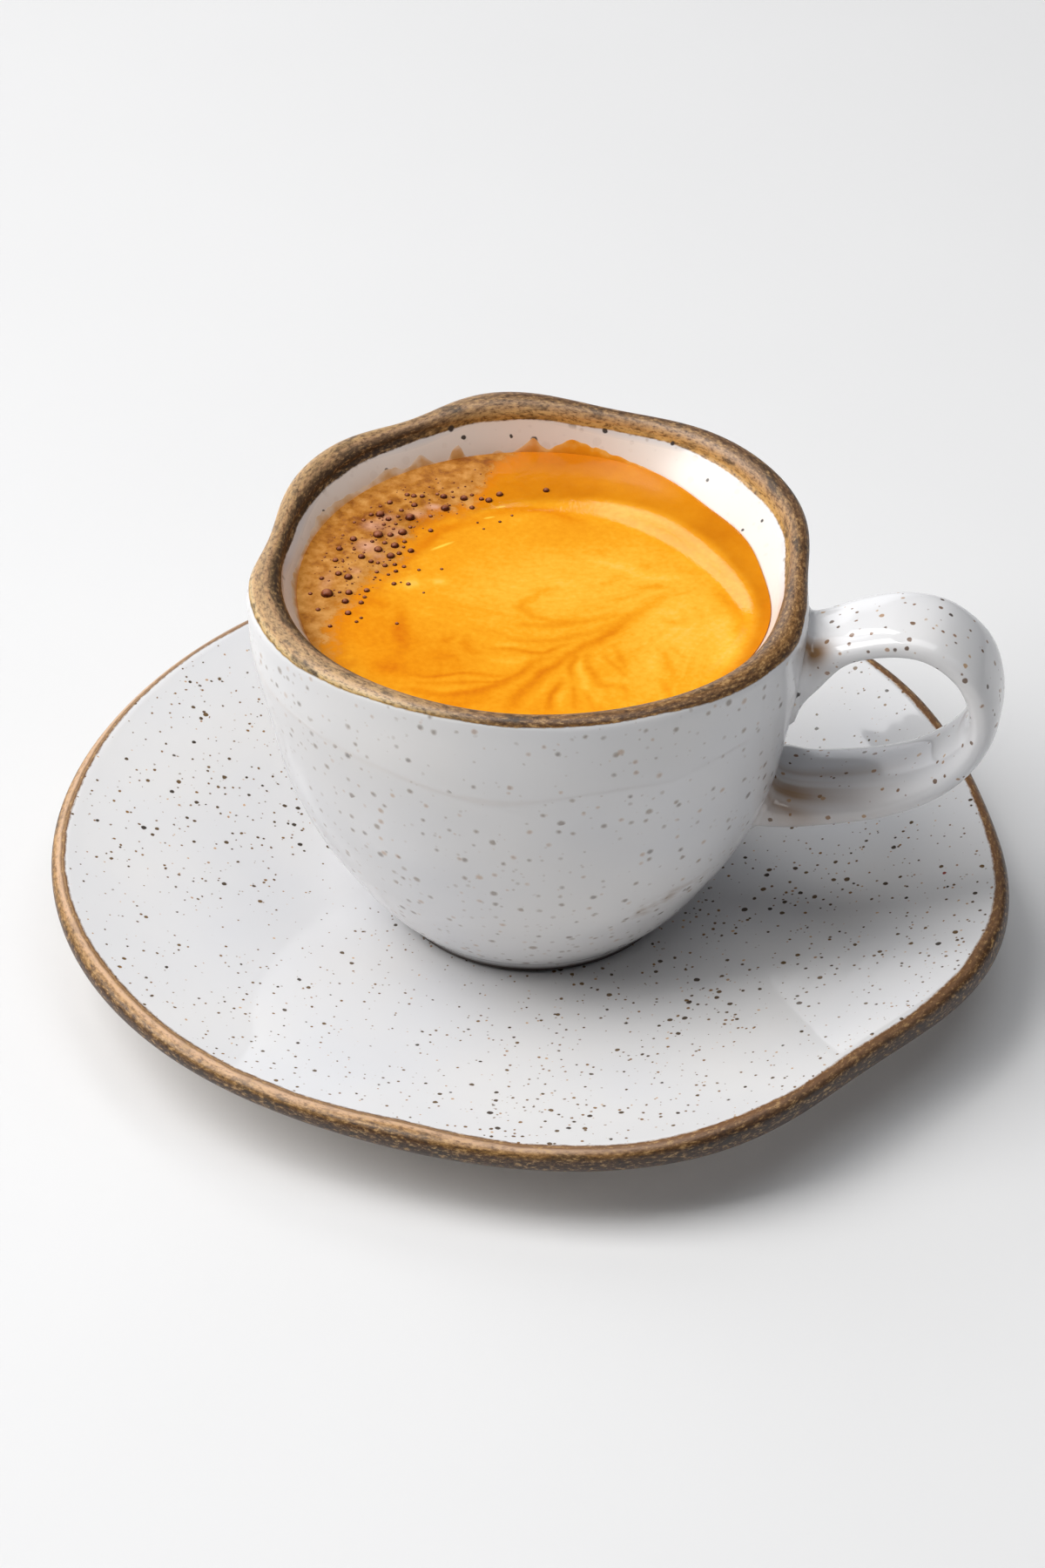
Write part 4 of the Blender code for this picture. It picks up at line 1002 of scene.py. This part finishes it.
def crema_finish():
    material, shader, put, place, pale, border, froth, pink, glint, risen, high = new_material(
        "crema_foam", "pale", "border", "froth", "pink", "glint", "swell", "swell_height")
    clouds = put("TexNoise", {"Vector": place, "Scale": 55.0, "Detail": 5.0, "Roughness": 0.6})
    foam = put("TexNoise", {"Vector": place, "Scale": 420.0, "Detail": 4.0, "Roughness": 0.65})
    pores = put("TexNoise", {"Vector": place, "Scale": 1100.0, "Detail": 2.0})
    reach = put("VectorMath", {0: place, 1: FAN_MIDDLE}, "Value", operation="DISTANCE")
    fan = put("MapRange", {0: reach, 1: 14 * MM, 2: 36 * MM, 3: 0.30, 4: 0.06},
              interpolation_type="SMOOTHSTEP")
    tone = pale
    for noise, share in ((flow_streaks(put, place), fan), (clouds, CLOUD_SHARE), (pores, PORE_SHARE)):
        noise = put("Math", {0: noise, 1: 0.5}, operation="SUBTRACT")
        tone = put("Math", {0: noise, 1: share, 2: tone}, operation="MULTIPLY_ADD")

    frayed = put("MapRange", {0: foam, 1: 0.25, 2: 0.75, 3: -2.5, 4: 2.5})
    lace = put("Math", {0: froth, 1: frayed}, operation="ADD")
    border, fringe, cover = (
        put("MapRange", {0: past_edge, 1: begin, 2: full, 4: most}, interpolation_type="SMOOTHSTEP")
        for past_edge, begin, full, most in (
            (border, -1.2, 2.0, 0.85), (lace, -4.5, 0.5, 0.6), (lace, -1.0, 3.5, 0.95)))
    deep = put("ValToRGB", {0: clouds}, stops=((0.35, "C06804"), (0.65, "D88206")))
    blend = put("Math", {0: foam, 1: 0.6}, operation="MULTIPLY")
    blend = put("Math", {0: clouds, 1: 0.4, 2: blend}, operation="MULTIPLY_ADD")
    tan = put("ValToRGB", {0: blend}, stops=((0.38, "864A10"), (0.48, "B27224"), (0.62, "D4984E")))
    pink = put("Math", {0: pink, 1: foam}, operation="MULTIPLY", use_clamp=True)
    pink = put("MapRange", {0: pink, 1: 0.05, 2: 0.5, 4: 0.9})
    tan = put("Mix", {0: pink, 6: tan, 7: "DDA688"}, 2, data_type="RGBA")
    # The glints are painted highlight, golden streaks along the froth's edge.
    glint = put("MapRange", {0: glint, 1: 0.3, 2: 0.9})
    base = put("ValToRGB", {0: tone}, stops=((0.0, "D87408"), (0.28, "EA900E"), (0.52, "F4A41E"),
                                             (0.72, "F8B838"), (1.0, "FCCC66")))
    for over, tint in ((border, deep), (fringe, "D8780A"), (cover, tan), (glint, "FFD24A")):
        base = put("Mix", {0: over, 6: base, 7: tint}, 2, data_type="RGBA")

    rough = put("MapRange", {0: cover, 3: 0.09, 4: 0.36})
    risen = put("MapRange", {0: risen}, interpolation_type="SMOOTHSTEP")
    relief = put("Math", {0: risen, 1: high}, operation="MULTIPLY")
    fizz = put("TexVoronoi", {"Vector": place, "Scale": 2400.0})
    froth_relief = put("Math", {0: foam, 1: cover}, operation="MULTIPLY")
    for height, share in ((fizz, 0.010), (froth_relief, 0.05)):
        relief = put("Math", {0: height, 1: share, 2: relief}, operation="MULTIPLY_ADD")
    bump = put("Bump", {"Height": relief, "Strength": 1.0, "Distance": MM})
    feed(shader, {"Base Color": base, "Roughness": rough, "Normal": bump, "IOR": 1.38})
    return material


coffee.data.materials.append(crema_finish())
print("crema on", coffee.name)

# %% [markdown]
# The film is dried foam: orange like the coffee at the back, where it is fresh, and tan elsewhere, paler
# at its ragged top. The bubbles are films of coffee over a dark hollow: deep brown and very glossy, with
# a redder crown that is painted lighter, as the light falling on the top of each dome.

# %% Foam film and bubbles
def film_finish():
    material, shader, put, place, up, warm = new_material("dried_foam", "up", "warm")
    lumps = put("TexNoise", {"Vector": place, "Scale": 420.0, "Detail": 4.0})
    lumps = put("MapRange", {0: lumps, 1: 0.25, 2: 0.75, 3: -0.4, 4: 0.4})
    mixed = put("Math", {0: up, 1: lumps}, operation="ADD")
    dry = put("ValToRGB", {0: mixed}, stops=((0.0, "C4843A"), (0.5, "D2A06A"), (1.0, "E0C4A8")))
    fresh = put("ValToRGB", {0: mixed}, stops=((0.0, "DA7C04"), (0.7, "EC9410"), (1.0, "F0AC48")))
    base = put("Mix", {0: warm, 6: dry, 7: fresh}, 2, data_type="RGBA")
    feed(shader, {"Base Color": base, "Roughness": 0.4, "IOR": 1.36})
    return material


def bubble_finish():
    material, shader, put, place, crown = new_material("coffee_bubbles", "crown")
    mottle = put("TexNoise", {"Vector": place, "Scale": 700.0, "Detail": 2.0})
    mottle = put("MapRange", {0: mottle, 1: 0.3, 2: 0.7, 3: -0.25, 4: 0.25})
    crown = put("Math", {0: crown, 1: mottle}, operation="ADD")
    # Dark sides and a lighter crown: the crown's lightness is painted light on the top of each dome.
    base = put("ValToRGB", {0: crown}, stops=((0.0, "5E2C10"), (0.3, "40180A"), (0.55, "743A20"),
                                              (1.0, "A86A4C")))
    feed(shader, {"Base Color": base, "Roughness": 0.2, "IOR": 1.24})
    return material


film.data.materials.append(film_finish())
bubbles.data.materials.append(bubble_finish())
print("film and bubbles finished")

# %% [markdown]
# The stage is a pale grey-white floor, which throws light back up under the cup, in soft studio light. The
# key is broad and high on the left, so the shadow falls short to the right. A slim slanted window light
# stands behind, a little to the left, and is what the crescent mirrors. One fill stands at the back left,
# a weak one on the right, and a broad one straight above.

# %% Floor and lights
FLOOR_REACH = 3.0
# Azimuth and elevation in degrees, distance and sides in metres, radiance, tint and roll in degrees.
LIGHTS = {"key": (200, 52, 1.5, 0.9, 1.35, 6.2, (1.0, 0.99, 0.98), 0),
          "window": (123, 50, 1.4, 0.23, 0.66, 3.4, (1.0, 1.0, 1.0), 22),
          "back_left": (152, 38, 1.5, 0.6, 0.7, 1.6, (0.98, 0.98, 1.0), 0),
          "right": (350, 35, 1.5, 0.7, 0.7, 0.55, (0.92, 0.94, 1.0), 0),
          "top": (350, 80, 1.5, 0.9, 0.9, 2.1, (0.96, 0.98, 1.0), 0)}


def make_floor():
    mesh = bpy.data.meshes.new("floor")
    corners = [(x * FLOOR_REACH, y * FLOOR_REACH, 0) for x, y in ((-1, -1), (1, -1), (1, 1), (-1, 1))]
    mesh.from_pydata(corners, [], [(0, 1, 2, 3)])
    floor = bpy.data.objects.new("floor", mesh)
    bpy.context.scene.collection.objects.link(floor)
    material, shader, put, place = new_material("pale_floor")
    cloud = put("TexNoise", {"Vector": place, "Scale": 12.0})
    base = put("Mix", {0: cloud, 6: "E4E4E4", 7: "E8E8E8"}, 2, data_type="RGBA")
    feed(shader, {"Base Color": base, "Roughness": 0.8})
    mesh.materials.append(material)


def soft_box(name, azimuth, elevation, distance, width, height, radiance, tint, roll):
    """An area light on a sphere about the cup, facing it. Power = radiance * pi * area."""
    light = bpy.data.lights.new(name, "AREA")
    light.shape, light.size, light.size_y = "RECTANGLE", width, height
    light.energy, light.color = radiance * math.pi * width * height, tint
    box = bpy.data.objects.new(name, light)
    a, e = math.radians(azimuth), math.radians(elevation)
    toward = mathutils.Vector((math.cos(e) * math.cos(a), math.cos(e) * math.sin(a), math.sin(e)))
    box.location = toward * distance
    facing = mathutils.Euler((math.pi / 2 - e, 0.0, a + math.pi / 2)).to_quaternion()
    box.rotation_euler = (facing @ mathutils.Quaternion((0.0, 0.0, 1.0), math.radians(roll))).to_euler()
    bpy.context.scene.collection.objects.link(box)


make_floor()
for name, settings in LIGHTS.items():
    soft_box(name, *settings)
print("floor and", len(LIGHTS), "lights")

# %% [markdown]
# The room is dim grey, with one pale band of wall low behind the cup. The band is bright enough to gleam
# in the glaze, but too small to light the cup. It shows where a direction is both near the wall's azimuth
# and low.

# %% Room
WALL_AZIMUTH, WALL_NEAR, WALL_LOW = 122, (0.84, 0.96), (0.41, 0.35)
WALL_COLOUR, ROOM_COLOUR = (1.18, 1.2, 1.26, 1.0), (0.06, 0.062, 0.068, 1.0)
world = bpy.data.worlds.new("studio")
bpy.context.scene.world = world
world.use_nodes = True
put = functools.partial(add, world.node_tree)
facing = put("TexCoord", output="Generated")
near = put("VectorMath", {0: facing, 1: heading(WALL_AZIMUTH)}, "Value", operation="DOT_PRODUCT")
low = put("SeparateXYZ", {0: facing}, 2)
near, low = (put("MapRange", {0: measure, 1: begin, 2: full}, interpolation_type="SMOOTHSTEP")
             for measure, (begin, full) in ((near, WALL_NEAR), (low, WALL_LOW)))
pale_wall = put("Math", {0: near, 1: low}, operation="MULTIPLY")
room = put("Mix", {0: pale_wall, 6: ROOM_COLOUR, 7: WALL_COLOUR}, 2, data_type="RGBA")
feed(world.node_tree.nodes["Background"], {"Color": room, "Strength": 1.0})
bpy.context.scene.view_settings.view_transform = "Standard"
print("room and wall")

# %% [markdown]
# The camera looks down at about 38 degrees from in front and a little to the right, through a long lens
# from 0.8 m, as the picture was taken.

# %% Camera
CAMERA_PLACE = np.array([129.75, -620.73, 517.1]) * MM
CAMERA_TARGET = np.array([-2.02, -0.78, 29.0]) * MM
SENSOR_HEIGHT, LENS = 36.0, 108.64
camera_data = bpy.data.cameras.new("camera")
camera_data.sensor_fit, camera_data.sensor_height, camera_data.lens = "VERTICAL", SENSOR_HEIGHT, LENS
camera = bpy.data.objects.new("camera", camera_data)
bpy.context.scene.collection.objects.link(camera)
view = CAMERA_TARGET - CAMERA_PLACE
camera.location = CAMERA_PLACE
camera.rotation_euler = (math.acos(-view[2] / np.linalg.norm(view)), 0.0, math.atan2(-view[0], view[1]))
bpy.context.scene.camera = camera
print("camera", round(float(np.linalg.norm(view)), 3), "m away")
